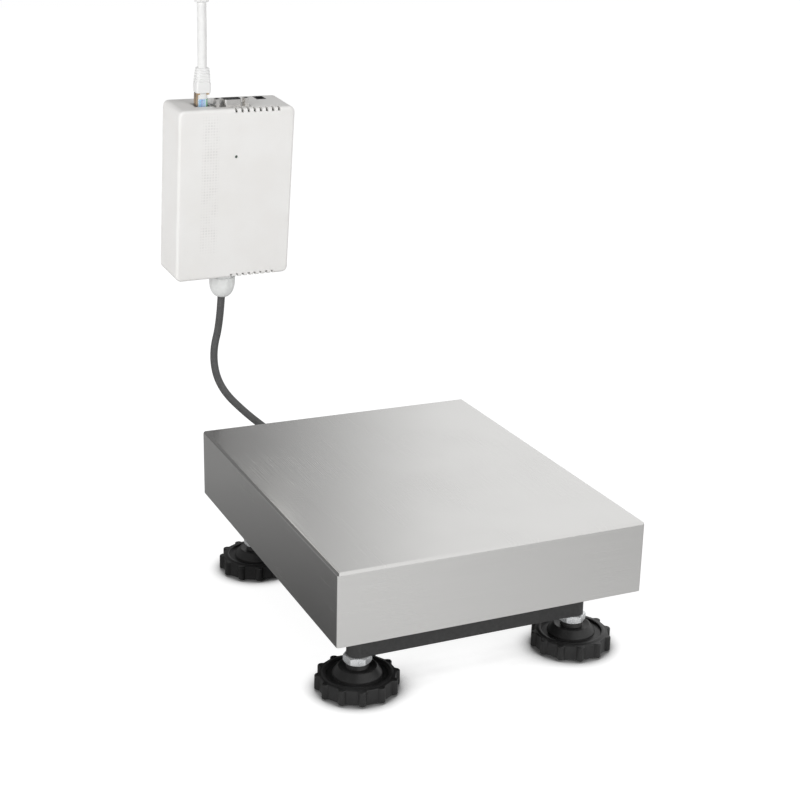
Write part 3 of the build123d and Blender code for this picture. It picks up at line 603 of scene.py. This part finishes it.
def foot_profile():
    """Half section of the moulded foot, from the hollow under it over the rim to the stud's bore."""
    bore = 5.0 * MM
    profile = [
        (bore, HEAD_SEAT), (HEAD_RECESS, HEAD_SEAT), (HEAD_RECESS, SOLE_TOP), (22.3 * MM, SOLE_TOP),
        (SKIRT_INSIDE, RIM_LOW), (lobed_outline(0.7 * MM), RIM_LOW),
        (lobed_outline(0.2 * MM), RIM_LOW + 0.25 * MM), (lobed_outline(), RIM_LOW + 0.8 * MM),
        (lobed_outline(SKIRT_DRAFT), RIM_HIGH - RIM_EDGE),
    ]
    steps = 5
    for step in range(1, steps + 1):
        angle = math.pi / 2 * step / steps
        inset = SKIRT_DRAFT + RIM_EDGE * (1 - math.cos(angle))
        profile.append((lobed_outline(inset), RIM_HIGH - RIM_EDGE * (1 - math.sin(angle))))
    crown = [(26.5, 12.6), (26.0, 12.65), (25.7, 12.8), (25.0, 13.1), (24.6, 13.26), (24.2, 13.3)]
    groove = [(23.4, 13.3), (23.05, 13.15), (22.9, 12.8), (22.8, 11.95), (22.45, 11.6), (18.45, 11.6)]
    cone = [(18.0, 11.8), (17.9, 12.3), (17.9, 12.9), (17.7, 13.35), (14.15, 18.05), (13.8, 18.32)]
    waist = [(13.3, 18.4), (12.7, 18.3), (9.0, 17.75), (8.35, 17.8), (8.05, 18.2)]
    neck = [(8.0, 20.6), (7.75, 21.0), (7.3, 21.1), (6.4, 21.1), (6.1, 20.8), (6.1, 12.0), (5.0, 12.0)]
    return profile + [(r * MM, h * MM) for r, h in crown + groove + cone + waist + neck]


def make_foot(end, plastic, zinc, sole):
    """Moulded foot and threaded stud, which turn together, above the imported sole."""
    x, y = FEET[end]
    place = Matrix.Translation((x, y, FLOOR))
    body = f"foot_{end}_screw"
    wheel = turned_piece(f"foot_{end}_moulding", foot_profile(), plastic, place, FOOT_LOBES * 24, 40.0)
    finish_piece(wheel, body, "foot_plastic", f"foot_{end}_wheel")
    stud = threaded(f"foot_{end}_thread", zinc, place, STUD_RADIUS, STUD_PITCH, STUD_LOW, STUD_HIGH)
    finish_piece(stud, body, "stud_zinc", f"foot_{end}_stud")
    paint(sole, f"foot_{end}_pad")


def threaded(name, material, place, outside, pitch, low, high):
    """Rolled thread: its crests wind up the rod and fade at both ends."""
    count = 48
    rows = round((high - low) / pitch * 8)
    depth = 0.52 * pitch
    fade_length = 1.2 * pitch
    rings = []
    for row in range(rows + 1):
        height = low + (high - low) * row / rows
        fade = min(1.0, min(height - low, high - height) / fade_length)

        def radius(angle, height=height, fade=fade):
            phase = (height / pitch - angle / (2 * math.pi)) % 1.0
            tooth = min(max(abs(2 * phase - 1) * 1.35 - 0.2, 0.0), 1.0)
            return outside - depth * tooth * (0.3 + 0.7 * fade) - (1.0 - fade) * 0.45 * pitch

        rings.append(polar_ring(radius, height, count))
    vertices, faces = skin(rings)
    return piece_from(name, [place @ v for v in vertices], faces, material, 70.0)


def polygon(flats, turn, sides=6):
    """Radius of a regular polygon at an angle; a flat faces the turn."""
    step = 2 * math.pi / sides

    def radius(angle):
        off = (angle - turn + step / 2) % step - step / 2
        return flats / 2 / math.cos(off)

    return radius


def chamfered(flats, turn, low, high, bore):
    """Outline of a hexagon nut whose corners are turned to a cone at both ends."""
    across = polygon(flats, turn)
    start = flats / 2 * 0.97
    slope = 1.75

    def limited(depth):
        cone = start + depth * slope
        return lambda angle: min(across(angle), cone)

    # Depths of the chamfer's rings on the foot's nut; other nuts scale them
    depths = [0.0, 0.1, 0.2, 0.32, 0.45, 0.6, 0.8, 1.05]
    scale = flats / NUT_FLATS
    outline = [(bore, low + 0.5 * MM), (bore + 0.6 * MM, low)]
    outline += [(limited(d * scale), low + d * scale) for d in (s * MM for s in depths)]
    outline += [(limited(d * scale), high - d * scale) for d in (s * MM for s in reversed(depths))]
    return outline + [(bore + 0.6 * MM, high), (bore, high - 0.5 * MM)]


def ring_piece(name, outline, material, place, count, smooth=32.0):
    """Turned piece with a through bore: the outline's last ring joins its first."""
    rings = [polar_ring(radius, height, count) for radius, height in outline]
    vertices, faces = skin(rings + [rings[0]], caps=False)
    used = len(rings) * count
    faces = [tuple(k % used for k in face) for face in faces]
    return piece_from(name, [place @ v for v in vertices[:used]], faces, material, smooth)


def make_lock_nuts(zinc):
    """Thin chamfered nuts, one object of four, tight under the crossbars' bosses."""
    made = []
    for end, (x, y) in FEET.items():
        place = Matrix.Translation((x, y, FLOOR))
        outline = chamfered(NUT_FLATS, NUT_TURN, NUT_LOW, NUT_HIGH, STUD_RADIUS + 0.05 * MM)
        made.append(ring_piece(f"nut_{end}", outline, zinc, place, 144, 24.0))
    nuts = joined("foot_nuts", made)
    finish_piece(nuts, "base", "nut_zinc", "lock_nuts")


# Crossbars
def bar_loop(length, width, notch, height):
    """Ring of a bar's outline; a notch is cut round into both ends, for the bore of the boss."""
    ring = []
    steps = 12
    for end in (1, -1):
        ring.append((end * length / 2, -end * width / 2, height))
        for step in range(steps + 1):
            angle = math.pi * (step / steps - 0.5)
            along = length / 2 - notch * math.cos(angle)
            ring.append((end * along, end * BAR_NOTCH * math.sin(angle), height))
        ring.append((end * length / 2, end * width / 2, height))
    return ring


def bar_body(name, casting, place):
    """The bar itself: a channel open below, with eased edges on top."""
    inner_length = BAR_LENGTH - 2 * BOSS_RADIUS - 2 * BAR_WALL
    inner_width = BAR_WIDTH - 2 * BAR_WALL
    taper = 0.8 * MM
    steps = 4
    outside = [
        bar_loop(BAR_LENGTH - 0.4 * MM, BAR_WIDTH - 0.6 * MM, BAR_NOTCH, BAR_LOW),
        bar_loop(BAR_LENGTH, BAR_WIDTH, BAR_NOTCH, BAR_LOW + 0.3 * MM),
    ]
    for step in range(steps + 1):
        angle = math.pi / 2 * step / steps
        inset = 2 * BAR_EDGE * (1 - math.cos(angle))
        height = BAR_HIGH - BAR_EDGE * (1 - math.sin(angle))
        outside.append(bar_loop(BAR_LENGTH, BAR_WIDTH - inset, BAR_NOTCH, height))
    inside = [
        bar_loop(inner_length, inner_width, 0.0, BAR_LOW),
        bar_loop(inner_length - taper, inner_width - taper, 0.0, BAR_HIGH - BAR_CROWN),
    ]
    return channel(name, outside, inside, casting, place, 30.0)


def make_crossbars(casting):
    """Channel castings with a boss at each end and two pads for the beam's screws."""
    boss = [
        (BOSS_BORE, NUT_HIGH), (BOSS_RADIUS - 0.4 * MM, NUT_HIGH), (BOSS_RADIUS, NUT_HIGH + 0.4 * MM),
        (BOSS_RADIUS, BOSS_HIGH - 1.2 * MM), (BOSS_RADIUS - 0.3 * MM, BOSS_HIGH - 0.5 * MM),
        (BOSS_RADIUS - 1.0 * MM, BOSS_HIGH), (BOSS_BORE + 0.4 * MM, BOSS_HIGH),
        (BOSS_BORE, BOSS_HIGH - 0.4 * MM),
    ]
    pad_low = BAR_HIGH - PAD_HEIGHT
    pad = [
        (PAD_RADIUS - 1.5 * MM, pad_low), (PAD_RADIUS - 0.4 * MM, pad_low + 0.2 * MM),
        (PAD_RADIUS, pad_low + 1.0 * MM), (PAD_RADIUS, BAR_HIGH - 0.5 * MM),
        (PAD_RADIUS - 1.0 * MM, BAR_HIGH - 0.4 * MM),
    ]
    for end, side in (("front", -1), ("rear", 1)):
        place = Matrix.Translation((0, side * FOOT_Y, FLOOR))
        made = [bar_body(f"{end}_bar", casting, place)]
        for x in (-FOOT_X, FOOT_X):
            made.append(ring_piece("boss", boss, casting, place @ Matrix.Translation((x, 0, 0)), 64, 40.0))
        for x in (-BEAM_SCREW_X, BEAM_SCREW_X):
            made.append(turned_piece("pad", pad, casting, place @ Matrix.Translation((x, 0, 0)), 48, 40.0))
        finish_piece(joined(f"{end}_bar_casting", made), "base", "cast_paint", f"{end}_crossbar")


# Cables
def in_box(x, y, z):
    """Point of the interface box's own frame, in millimetres."""
    return BOX_PLACE @ (Vector((x, y, z)) * MM)


def cable_curve(name, points, radius, material):
    """Round cable along a smooth curve with these control points."""
    data = bpy.data.curves.new(name, "CURVE")
    data.dimensions = "3D"
    spline = data.splines.new("NURBS")
    spline.points.add(len(points) - 1)
    for control, point in zip(spline.points, points):
        control.co = (*point, 1.0)
    spline.order_u = 3
    spline.use_endpoint_u = True
    spline.resolution_u = 16
    data.bevel_depth = radius
    data.bevel_resolution = 8
    data.use_fill_caps = True
    piece = bpy.data.objects.new(name, data)
    bpy.context.scene.collection.objects.link(piece)
    data.materials.append(material)
    return piece


def make_cables(dark, white):
    """Cable of the platform, network cable and the load cell's lead, along the part's own routes."""
    platform_points = [
        in_box(-1.5, 0, -5), in_box(-1.5, 0, -46), (-0.0865, 0.229, 0.040), (-0.082, 0.224, 0.011),
        (-0.062, 0.209, -0.012), (-0.037, 0.190, -0.032), (-0.012, 0.180, -0.057),
        (0.0, 0.155, GLAND_HEIGHT), (0.0, 0.1155, GLAND_HEIGHT),
    ]
    platform = cable_curve("platform_cable_jacket", platform_points, CABLE_RADIUS, dark)
    finish_piece(platform, "base", "dark_cable", "platform_cable")
    network_points = patch_points()
    network = cable_curve("network_cable_jacket", network_points, PATCH_RADIUS, white)
    finish_piece(network, "base", "white_cable", "network_cable")
    lead_points = [
        (0.0, 0.1155, GLAND_HEIGHT), (0.0, 0.0975, GLAND_HEIGHT), (0.0, 0.082, -0.042), (0.0, 0.065, -0.042),
    ]
    lead = cable_curve("cell_lead_jacket", lead_points, LEAD_RADIUS, dark)
    finish_piece(lead, "base", "dark_cable", "cell_lead")


def patch_points():
    """Route of the network cable: out of the plug's rear end and the boot, then up out of the view."""
    above_boot = in_box(-25.0, -2.0, 187.0)
    return [in_box(-25.0, -2.0, 157.0), above_boot, above_boot + Vector((-0.6, -1.4, 58.0)) * MM]


# Glands
def gland_cap(name, place, radius, low, length, material, slot, node):
    """Compression nut: a round bowl at its low end, grip flats above, and a bore for the cable."""
    bore = CABLE_RADIUS + 0.05 * MM

    def grip(angle):
        return min(polygon(1.946 * radius, 0.0, 10)(angle), radius)

    bowl = [
        (0.40, 0.0), (0.49, 0.012), (0.58, 0.042), (0.67, 0.09), (0.76, 0.155), (0.84, 0.24), (0.905, 0.34),
        (0.95, 0.44), (0.975, 0.52),
    ]
    outline = [(bore, low + 0.05 * length), (0.34 * radius, low + 0.012 * length)]
    outline += [(share * radius, low + up * length) for share, up in bowl]
    outline += [(grip, low + up * length) for up in (0.58, 0.64, 0.95)]
    outline += [(0.965 * radius, low + 0.985 * length), (0.92 * radius, low + length), (bore, low + length)]
    cap = ring_piece(name, outline, material, place, 180, 26.0)
    return finish_piece(cap, "base", slot, node)


def gland_body(name, place, flats, height, thread, material, slot, node):
    """Hexagon flange with eased corners, and the thread that goes through the wall."""
    turn = math.radians(15.0)
    thread_radius, thread_high = thread
    outline = chamfered(flats, turn, -height, 0.0, CABLE_RADIUS + 0.05 * MM)
    flange = ring_piece(f"{name}_flange", outline, material, place, 144, 24.0)
    rod = threaded(f"{name}_thread", material, place, thread_radius, GLAND_PITCH, -0.2 * MM, thread_high)
    return finish_piece(joined(name, [flange, rod]), "base", slot, node)


def make_glands(white, black):
    """White gland under the box, and black gland in the rear crossbar, each on its wall's face."""
    place = BOX_PLACE @ Matrix.Translation((GLAND_X, 0, 0))
    gland_body("box_gland_flange", place, GLAND_FLATS, GLAND_FLANGE, GLAND_THREAD, white, "white_gland",
               "box_gland_body")
    low = -(GLAND_FLANGE + GLAND_CAP_LENGTH)
    gland_cap("box_gland_bowl", place, GLAND_CAP_RADIUS, low, GLAND_CAP_LENGTH, white, "white_gland",
              "box_gland_cap")
    rear = Matrix.Translation((0, BAR_OUTER, GLAND_HEIGHT)) @ Matrix.Rotation(math.radians(90.0), 4, "X")
    gland_body("base_gland_flange", rear, REAR_GLAND_FLATS, REAR_GLAND_FLANGE, REAR_GLAND_THREAD, black,
               "black_gland", "base_gland_body")
    low = -(REAR_GLAND_FLANGE + REAR_GLAND_CAP_LENGTH)
    gland_cap("base_gland_bowl", rear, REAR_GLAND_CAP_RADIUS, low, REAR_GLAND_CAP_LENGTH, black,
              "black_gland", "base_gland_cap")


# Network plug
def lofted(name, sections, material, place, smooth=32.0):
    """Skin through rounded rectangles, each given by its width, depth, corner and height."""
    rings = [rounded_rectangle(width, depth, corner, height) for width, depth, corner, height in sections]
    vertices, faces = skin(rings)
    return piece_from(name, [place @ v for v in vertices], faces, material, smooth)


def boot_sections():
    """Lower block with eased edges, shoulder, and a slightly tapering neck with grooves round it."""
    wide, deep, corner = 12.6, 10.2, 2.0
    length = BOOT_LENGTH / MM
    shoulder = 0.36 * length
    first, last = 0.42 * length, 0.98 * length
    step = (last - first) / BOOT_RIBS
    groove = [
        (-0.3, 0.0), (-0.08, 0.08), (0.0, 0.25), (0.08, 0.55), (0.2, 0.65),
        (0.6, 0.65), (0.72, 0.55), (0.8, 0.25), (0.88, 0.08), (1.1, 0.0),
    ]

    def at(height, inset=0.0):
        share = max(height - shoulder, 0.0) / (length - shoulder)
        width = wide - 1.6 * share - 2 * inset
        depth = deep - 1.2 * share - 2 * inset
        return width, depth, corner + 1.6 * share - 0.6 * inset, height

    sections = [at(0.0, 0.35), at(0.12, 0.12), at(0.4), at(shoulder - 0.4), at(shoulder)]
    for index in range(BOOT_RIBS):
        low = first + index * step
        sections += [at(low + up, inset) for up, inset in groove]
    sections += [at(length - 0.9), at(length - 0.5, 0.25), at(length - 0.15, 0.9), at(length, 1.6)]
    return [tuple(value * MM for value in section) for section in sections]


def make_plug(end, place, boot_material, white, gold, wire_materials):
    """Boot, and what the clear plug shows inside: contacts, wires and the end of the jacket."""
    top = PLUG_LENGTH - BOOT_GRIP
    boot_place = place @ Matrix.Translation((0, 0, top))
    boot = lofted(f"{end}_boot_moulding", boot_sections(), boot_material, boot_place, 38.0)
    finish_piece(boot, "base", "white_boot", f"{end}_boot")
    inner = [lofted(f"{end}_jacket_end", [
        (8.6 * MM, 5.8 * MM, 2.2 * MM, 16.6 * MM), (9.0 * MM, 6.2 * MM, 2.4 * MM, 17.0 * MM),
        (9.0 * MM, 6.2 * MM, 2.4 * MM, top - 0.4 * MM),
    ], white, place)]
    tip = 0.3 * MM
    wire = [(tip, 1.4 * MM), (WIRE_RADIUS, 1.6 * MM), (WIRE_RADIUS, WIRE_END), (tip, WIRE_END + 0.2 * MM)]
    blade = [(0.3 * MM, 2.3 * MM, 0.05 * MM, z) for z in (0.5 * MM, 6.0 * MM)]
    for index in range(WIRE_COUNT):
        x = (index - (WIRE_COUNT - 1) / 2) * WIRE_PITCH
        spot = place @ Matrix.Translation((x, -2.3 * MM, 0))
        inner.append(turned_piece(f"{end}_wire", wire, wire_materials[index], spot, 16))
        inner.append(lofted(f"{end}_contact", blade, gold, place @ Matrix.Translation((x, 2.0 * MM, 0))))
    band_low = top - 1.7 * MM
    band = [(11.2 * MM, 6.1 * MM, 0.5 * MM, z) for z in (band_low, top)]
    inner.append(lofted(f"{end}_band", band, gold, place))
    strip = [(1.2 * MM, 6.0 * MM, 0.3 * MM, z) for z in (11.0 * MM, band_low)]
    inner.append(lofted(f"{end}_strip", strip, gold, place @ Matrix.Translation((-5.0 * MM, 0, 0))))
    finish_piece(joined(f"{end}_plug_inside", inner), "base", "white_cable")


def make_plugs(boot_material, white, gold, wire_materials):
    """The plug in the box, and the one at the cable's far end, which points the other way."""
    near = BOX_PLACE @ Matrix.Translation((PLUG_X, PLUG_Y, BOX_HEIGHT - PLUG_INSERT))
    make_plug("network", near, boot_material, white, gold, wire_materials)
    points = patch_points()
    up = (points[2] - points[1]).normalized()
    across = (Vector((1, 0, 0)) - up * up.x).normalized()
    turn = Matrix((across, (-up).cross(across), -up)).transposed().to_4x4()
    far = Matrix.Translation(points[2] + up * PLUG_LENGTH) @ turn
    make_plug("far", far, boot_material, white, gold, wire_materials)


# Small pieces
def make_welds(steel):
    """Ground corner seams: a thin uneven bead up the inside of each corner of the tray."""
    made = []
    inset = PLATE_SHEET + 0.5 * MM
    low, ripples, ripple_pitch = -53.2, 60, 0.84
    outline = [(0.2 * MM, -53.5 * MM)]
    for step in range(ripples):
        swell = 0.12 * math.sin(step * 2.1) + 0.06 * math.sin(step * 5.3)
        outline.append(((1.0 + swell) * MM, (low + step * ripple_pitch) * MM))
    outline.append((0.2 * MM, -3.2 * MM))
    for sx, sy in ((1, 1), (-1, 1), (-1, -1), (1, -1)):
        place = Matrix.Translation((sx * (PLATE_WIDTH / 2 - inset), sy * (PLATE_DEPTH / 2 - inset), 0))
        made.append(turned_piece("bead", outline, steel, place, 16, 60.0))
    finish_piece(joined("corner_beads", made), "weighing_plate", "plate_steel")


def make_level_marks(dark, glass_like):
    """Ring and bubble of the level, just above its liquid."""
    low, high = (Vector(corner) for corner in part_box("level_glass"))
    centre = (low + high) / 2
    place = Matrix.Translation((centre.x, centre.y, high.z))
    band = [(2.2, -0.02), (2.2, 0.05), (2.5, 0.05), (2.5, -0.02)]
    ring = ring_piece("level_ring", [(r * MM, h * MM) for r, h in band], dark, place, 48)
    dome = [(0.4, -0.02), (1.6, 0.0), (1.5, 0.12), (1.0, 0.22), (0.4, 0.26)]
    bubble = turned_piece("level_bubble", [(r * MM, h * MM) for r, h in dome], glass_like, place, 40)
    finish_piece(joined("level_marks", [ring, bubble]), "base", "level_body")


# Studio
def make_floor():
    """White ground that keeps the object's shadow and a painted shadow close to what stands on it; for
    metal, painted shade darkens it to the left and back.
    """
    finish = Finish("ground")
    place = finish.place()
    parts = finish.add("SeparateXYZ", {0: place})
    # What metal and plain surfaces see: plain surfaces see the floor's tone, metal sees a painted shade that
    # is dark to the left and back
    to_right = finish.math("MULTIPLY", parts.outputs[0], BRIGHT_SIDE[0])
    to_front = finish.math("MULTIPLY", parts.outputs[1], BRIGHT_SIDE[1])
    side = finish.span(finish.math("ADD", to_right, to_front), 0.0, 1.0, -0.12, 0.05)
    ahead = finish.span(parts.outputs[1], 1.0, 0.0, -0.16, -0.08)
    right_share = finish.math("MAXIMUM", side, ahead)
    left_level = finish.span(parts.outputs[1], *MIRRORED_LEFT, -0.02, 0.32)
    right_level = finish.span(parts.outputs[0], *MIRRORED_RIGHT, 0.0, 0.35)
    shade = finish.add("Mix", {0: right_share, 2: left_level, 3: right_level}, data_type="FLOAT")
    mirrored = finish.add("CombineColor", {0: shade, 1: shade, 2: shade}).outputs[0]
    glossy = finish.add("LightPath").outputs["Is Glossy Ray"]
    diffuse = finish.add("BsdfDiffuse", {"Color": finish.blend(glossy, grey(FLOOR_TONE), mirrored)})
    # What the camera sees: a glow that an occlusion test dims into a painted shadow near what stands on the
    # floor, over the lamps' own shadow on a dim diffuse coat
    near_by = finish.add("AmbientOcclusion", {"Distance": SHADOW_REACH})
    near_by.samples = 24
    open_share = finish.span(near_by.outputs["AO"], 0.0, 1.0, SHADOW_DEEP, SHADOW_CLEAR)
    centred = finish.add("VectorMath", {0: place, 1: (0.0, -0.05, 0.0)}, operation="ADD")
    away = finish.add("VectorMath", {0: centred}, operation="LENGTH").outputs["Value"]
    far_off = finish.span(away, 0.0, 1.0, WHITE_FROM, WHITE_TO)
    level = finish.math("MAXIMUM", open_share, far_off)
    glow = finish.add("Emission", {"Color": grey(GLOW), "Strength": level})
    lit = finish.add("BsdfDiffuse", {"Color": grey(SHADOW_GAIN)})
    camera_side = finish.add("AddShader", {0: lit, 1: glow})
    seen = finish.add("LightPath").outputs["Is Camera Ray"]
    mix = finish.add("MixShader", {0: seen, 1: diffuse, 2: camera_side})
    finish.feed(finish.tree.nodes["Material Output"].inputs["Surface"], mix)
    corners = [(x * FLOOR_REACH, y * FLOOR_REACH, FLOOR) for x, y in ((-1, -1), (1, -1), (1, 1), (-1, 1))]
    piece_from("ground", corners, [(0, 1, 2, 3)], finish.material)


def make_world():
    """White for the camera; metal sees a studio that is bright to the right and front."""
    world = bpy.data.worlds.new("studio")
    world.use_nodes = True
    bpy.context.scene.world = world
    tree = world.node_tree
    background = tree.nodes["Background"]
    path = tree.nodes.new("ShaderNodeLightPath")
    direction = tree.nodes.new("ShaderNodeTexCoord")
    dot = tree.nodes.new("ShaderNodeVectorMath")
    dot.operation = "DOT_PRODUCT"
    tree.links.new(direction.outputs["Generated"], dot.inputs[0])
    dot.inputs[1].default_value = (*BRIGHT_SIDE, 0.0)
    ramp = tree.nodes.new("ShaderNodeMapRange")
    tree.links.new(dot.outputs["Value"], ramp.inputs["Value"])
    levels = {"From Min": WORLD_EDGE[0], "From Max": WORLD_EDGE[1], "To Min": WORLD_DARK, "To Max": 1.0}
    for key, value in levels.items():
        ramp.inputs[key].default_value = value
    seen = tree.nodes.new("ShaderNodeMath")
    seen.operation = "MAXIMUM"
    tree.links.new(path.outputs["Is Camera Ray"], seen.inputs[0])
    tree.links.new(path.outputs["Is Transmission Ray"], seen.inputs[1])
    light = tree.nodes.new("ShaderNodeMix")
    light.inputs[2].default_value = WORLD_DIFFUSE
    tree.links.new(path.outputs["Is Glossy Ray"], light.inputs[0])
    tree.links.new(ramp.outputs[0], light.inputs[3])
    level = tree.nodes.new("ShaderNodeMix")
    tree.links.new(seen.outputs[0], level.inputs[0])
    tree.links.new(light.outputs[0], level.inputs[2])
    level.inputs[3].default_value = 1.0
    tree.links.new(level.outputs[0], background.inputs["Strength"])
    background.inputs["Color"].default_value = (1.0, 1.0, 1.0, 1.0)


def make_lamps():
    """Soft disks that light the object and stay out of its reflections."""
    for name, (place, power) in LAMPS.items():
        data = bpy.data.lights.new(name, "AREA")
        data.shape = "DISK"
        data.size = LAMP_SIZE
        data.energy = power
        lamp = bpy.data.objects.new(name, data)
        bpy.context.scene.collection.objects.link(lamp)
        lamp.location = place
        lamp.rotation_mode = "QUATERNION"
        lamp.rotation_quaternion = (-Vector(place)).to_track_quat("-Z", "Y")
        lamp.visible_glossy = False


def paint(material, *names):
    """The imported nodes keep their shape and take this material."""
    for name in names:
        node = nodes[name]
        node.data.materials.clear()
        node.data.materials.append(material)


def ease(width, *names):
    """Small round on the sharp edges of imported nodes."""
    for name in names:
        bevel = nodes[name].modifiers.new("eased", "BEVEL")
        bevel.width = width
        bevel.segments = 2
        bevel.limit_method = "ANGLE"
        bevel.angle_limit = math.radians(42.0)


make_camera()
make_world()
make_lamps()
make_floor()

steel = steel_sheet()
bright_zinc = plated("bright_zinc", (0.90, 0.91, 0.92, 1.0), 0.24, (0.82, 0.84, 0.86, 1.0), 0.7)
nickel = plated("connector_plate", (0.74, 0.73, 0.71, 1.0), 0.14, (0.64, 0.63, 0.62, 1.0))
tin = plated("jack_shield", (0.60, 0.60, 0.58, 1.0), 0.3)
casting = cast_paint("cast_paint", grey(0.040))
coat = cast_paint("beam_paint", grey(0.045), 0.05)
foot_plastic = moulded("foot_plastic", grey(0.013), grey(0.020), 0.36, 900.0, 0.08, 0.42)
sole = rubber("sole_rubber", grey(0.018))
buffer = rubber("buffer_rubber", grey(0.025))
aluminium = milled("cell_aluminium")
dark_jacket = jacket("dark_cable", grey(0.075), grey(0.095), 0.42)
white_jacket = jacket("white_cable", (0.84, 0.84, 0.83, 1.0), (0.80, 0.80, 0.795, 1.0), 0.4)
white_boot = moulded("white_boot", (0.85, 0.85, 0.845, 1.0), (0.82, 0.82, 0.815, 1.0), 0.4)
white_gland = moulded("white_gland", (0.80, 0.81, 0.80, 1.0), (0.77, 0.78, 0.775, 1.0), 0.38)
black_gland = moulded("black_gland", grey(0.025), grey(0.03), 0.4)
insulator = moulded("black_insulator", grey(0.010), grey(0.014), 0.6)
case = box_plastic()
clear = clear_plastic("clear_plug", (0.93, 0.96, 0.98, 1.0), 0.10)
board = solder_mask()
liquid = liquid_level()
light_pipe = clear_plastic("light_lens", (0.10, 0.13, 0.11, 1.0), 0.9, 0.15)
level_body = moulded("level_body", grey(0.75), grey(0.70), 0.4)
gold = plated("contact_gold", (0.62, 0.42, 0.22, 1.0), 0.3)
light_blue = moulded("wire_light_blue", (0.36, 0.68, 0.95, 1.0), (0.34, 0.62, 0.92, 1.0), 0.35)
violet = moulded("wire_violet", (0.32, 0.42, 0.86, 1.0), (0.28, 0.38, 0.80, 1.0), 0.35)
pale = moulded("wire_pale", (0.66, 0.78, 0.90, 1.0), (0.60, 0.74, 0.88, 1.0), 0.35)
green = moulded("wire_green", (0.16, 0.50, 0.22, 1.0), (0.13, 0.44, 0.20, 1.0), 0.35)
wires = [pale, light_blue, light_blue, violet, light_blue, light_blue, pale, green]

make_plate(steel)
for end in FEET:
    make_foot(end, foot_plastic, bright_zinc, sole)
make_lock_nuts(bright_zinc)
make_crossbars(casting)
make_cables(dark_jacket, white_jacket)
make_glands(white_gland, black_gland)
make_plugs(white_boot, white_jacket, gold, wires)
make_welds(steel)
make_level_marks(insulator, level_body)

paint(buffer, "plate_buffers")
paint(coat, "carrier_beam", "carrier_arm_front", "carrier_arm_rear", "base_beam")
paint(bright_zinc, "carrier_screws", "cell_screws_top", "cell_screws_bottom", "beam_screws",
      "overload_stops", "overload_nuts", "case_screws", "cell_spacer_top", "cell_spacer_bottom")
paint(aluminium, "load_cell")
paint(level_body, "level_cup")
paint(liquid, "level_glass")
paint(case, "box_front", "box_back")
paint(board, "circuit_board")
paint(tin, "network_jack")
paint(nickel, "serial_shell", "serial_standoffs")
paint(insulator, "serial_insert", "power_jack")
paint(light_pipe, "status_light")
paint(white_gland, "box_gland_nut")
paint(clear, "network_plug", "far_plug")
ease(0.15 * MM, "serial_shell", "serial_standoffs", "network_jack", "power_jack", "box_gland_nut")
ease(0.25 * MM, "circuit_board", "cell_spacer_top", "cell_spacer_bottom", "level_cup")

bpy.context.scene.view_settings.view_transform = "Standard"
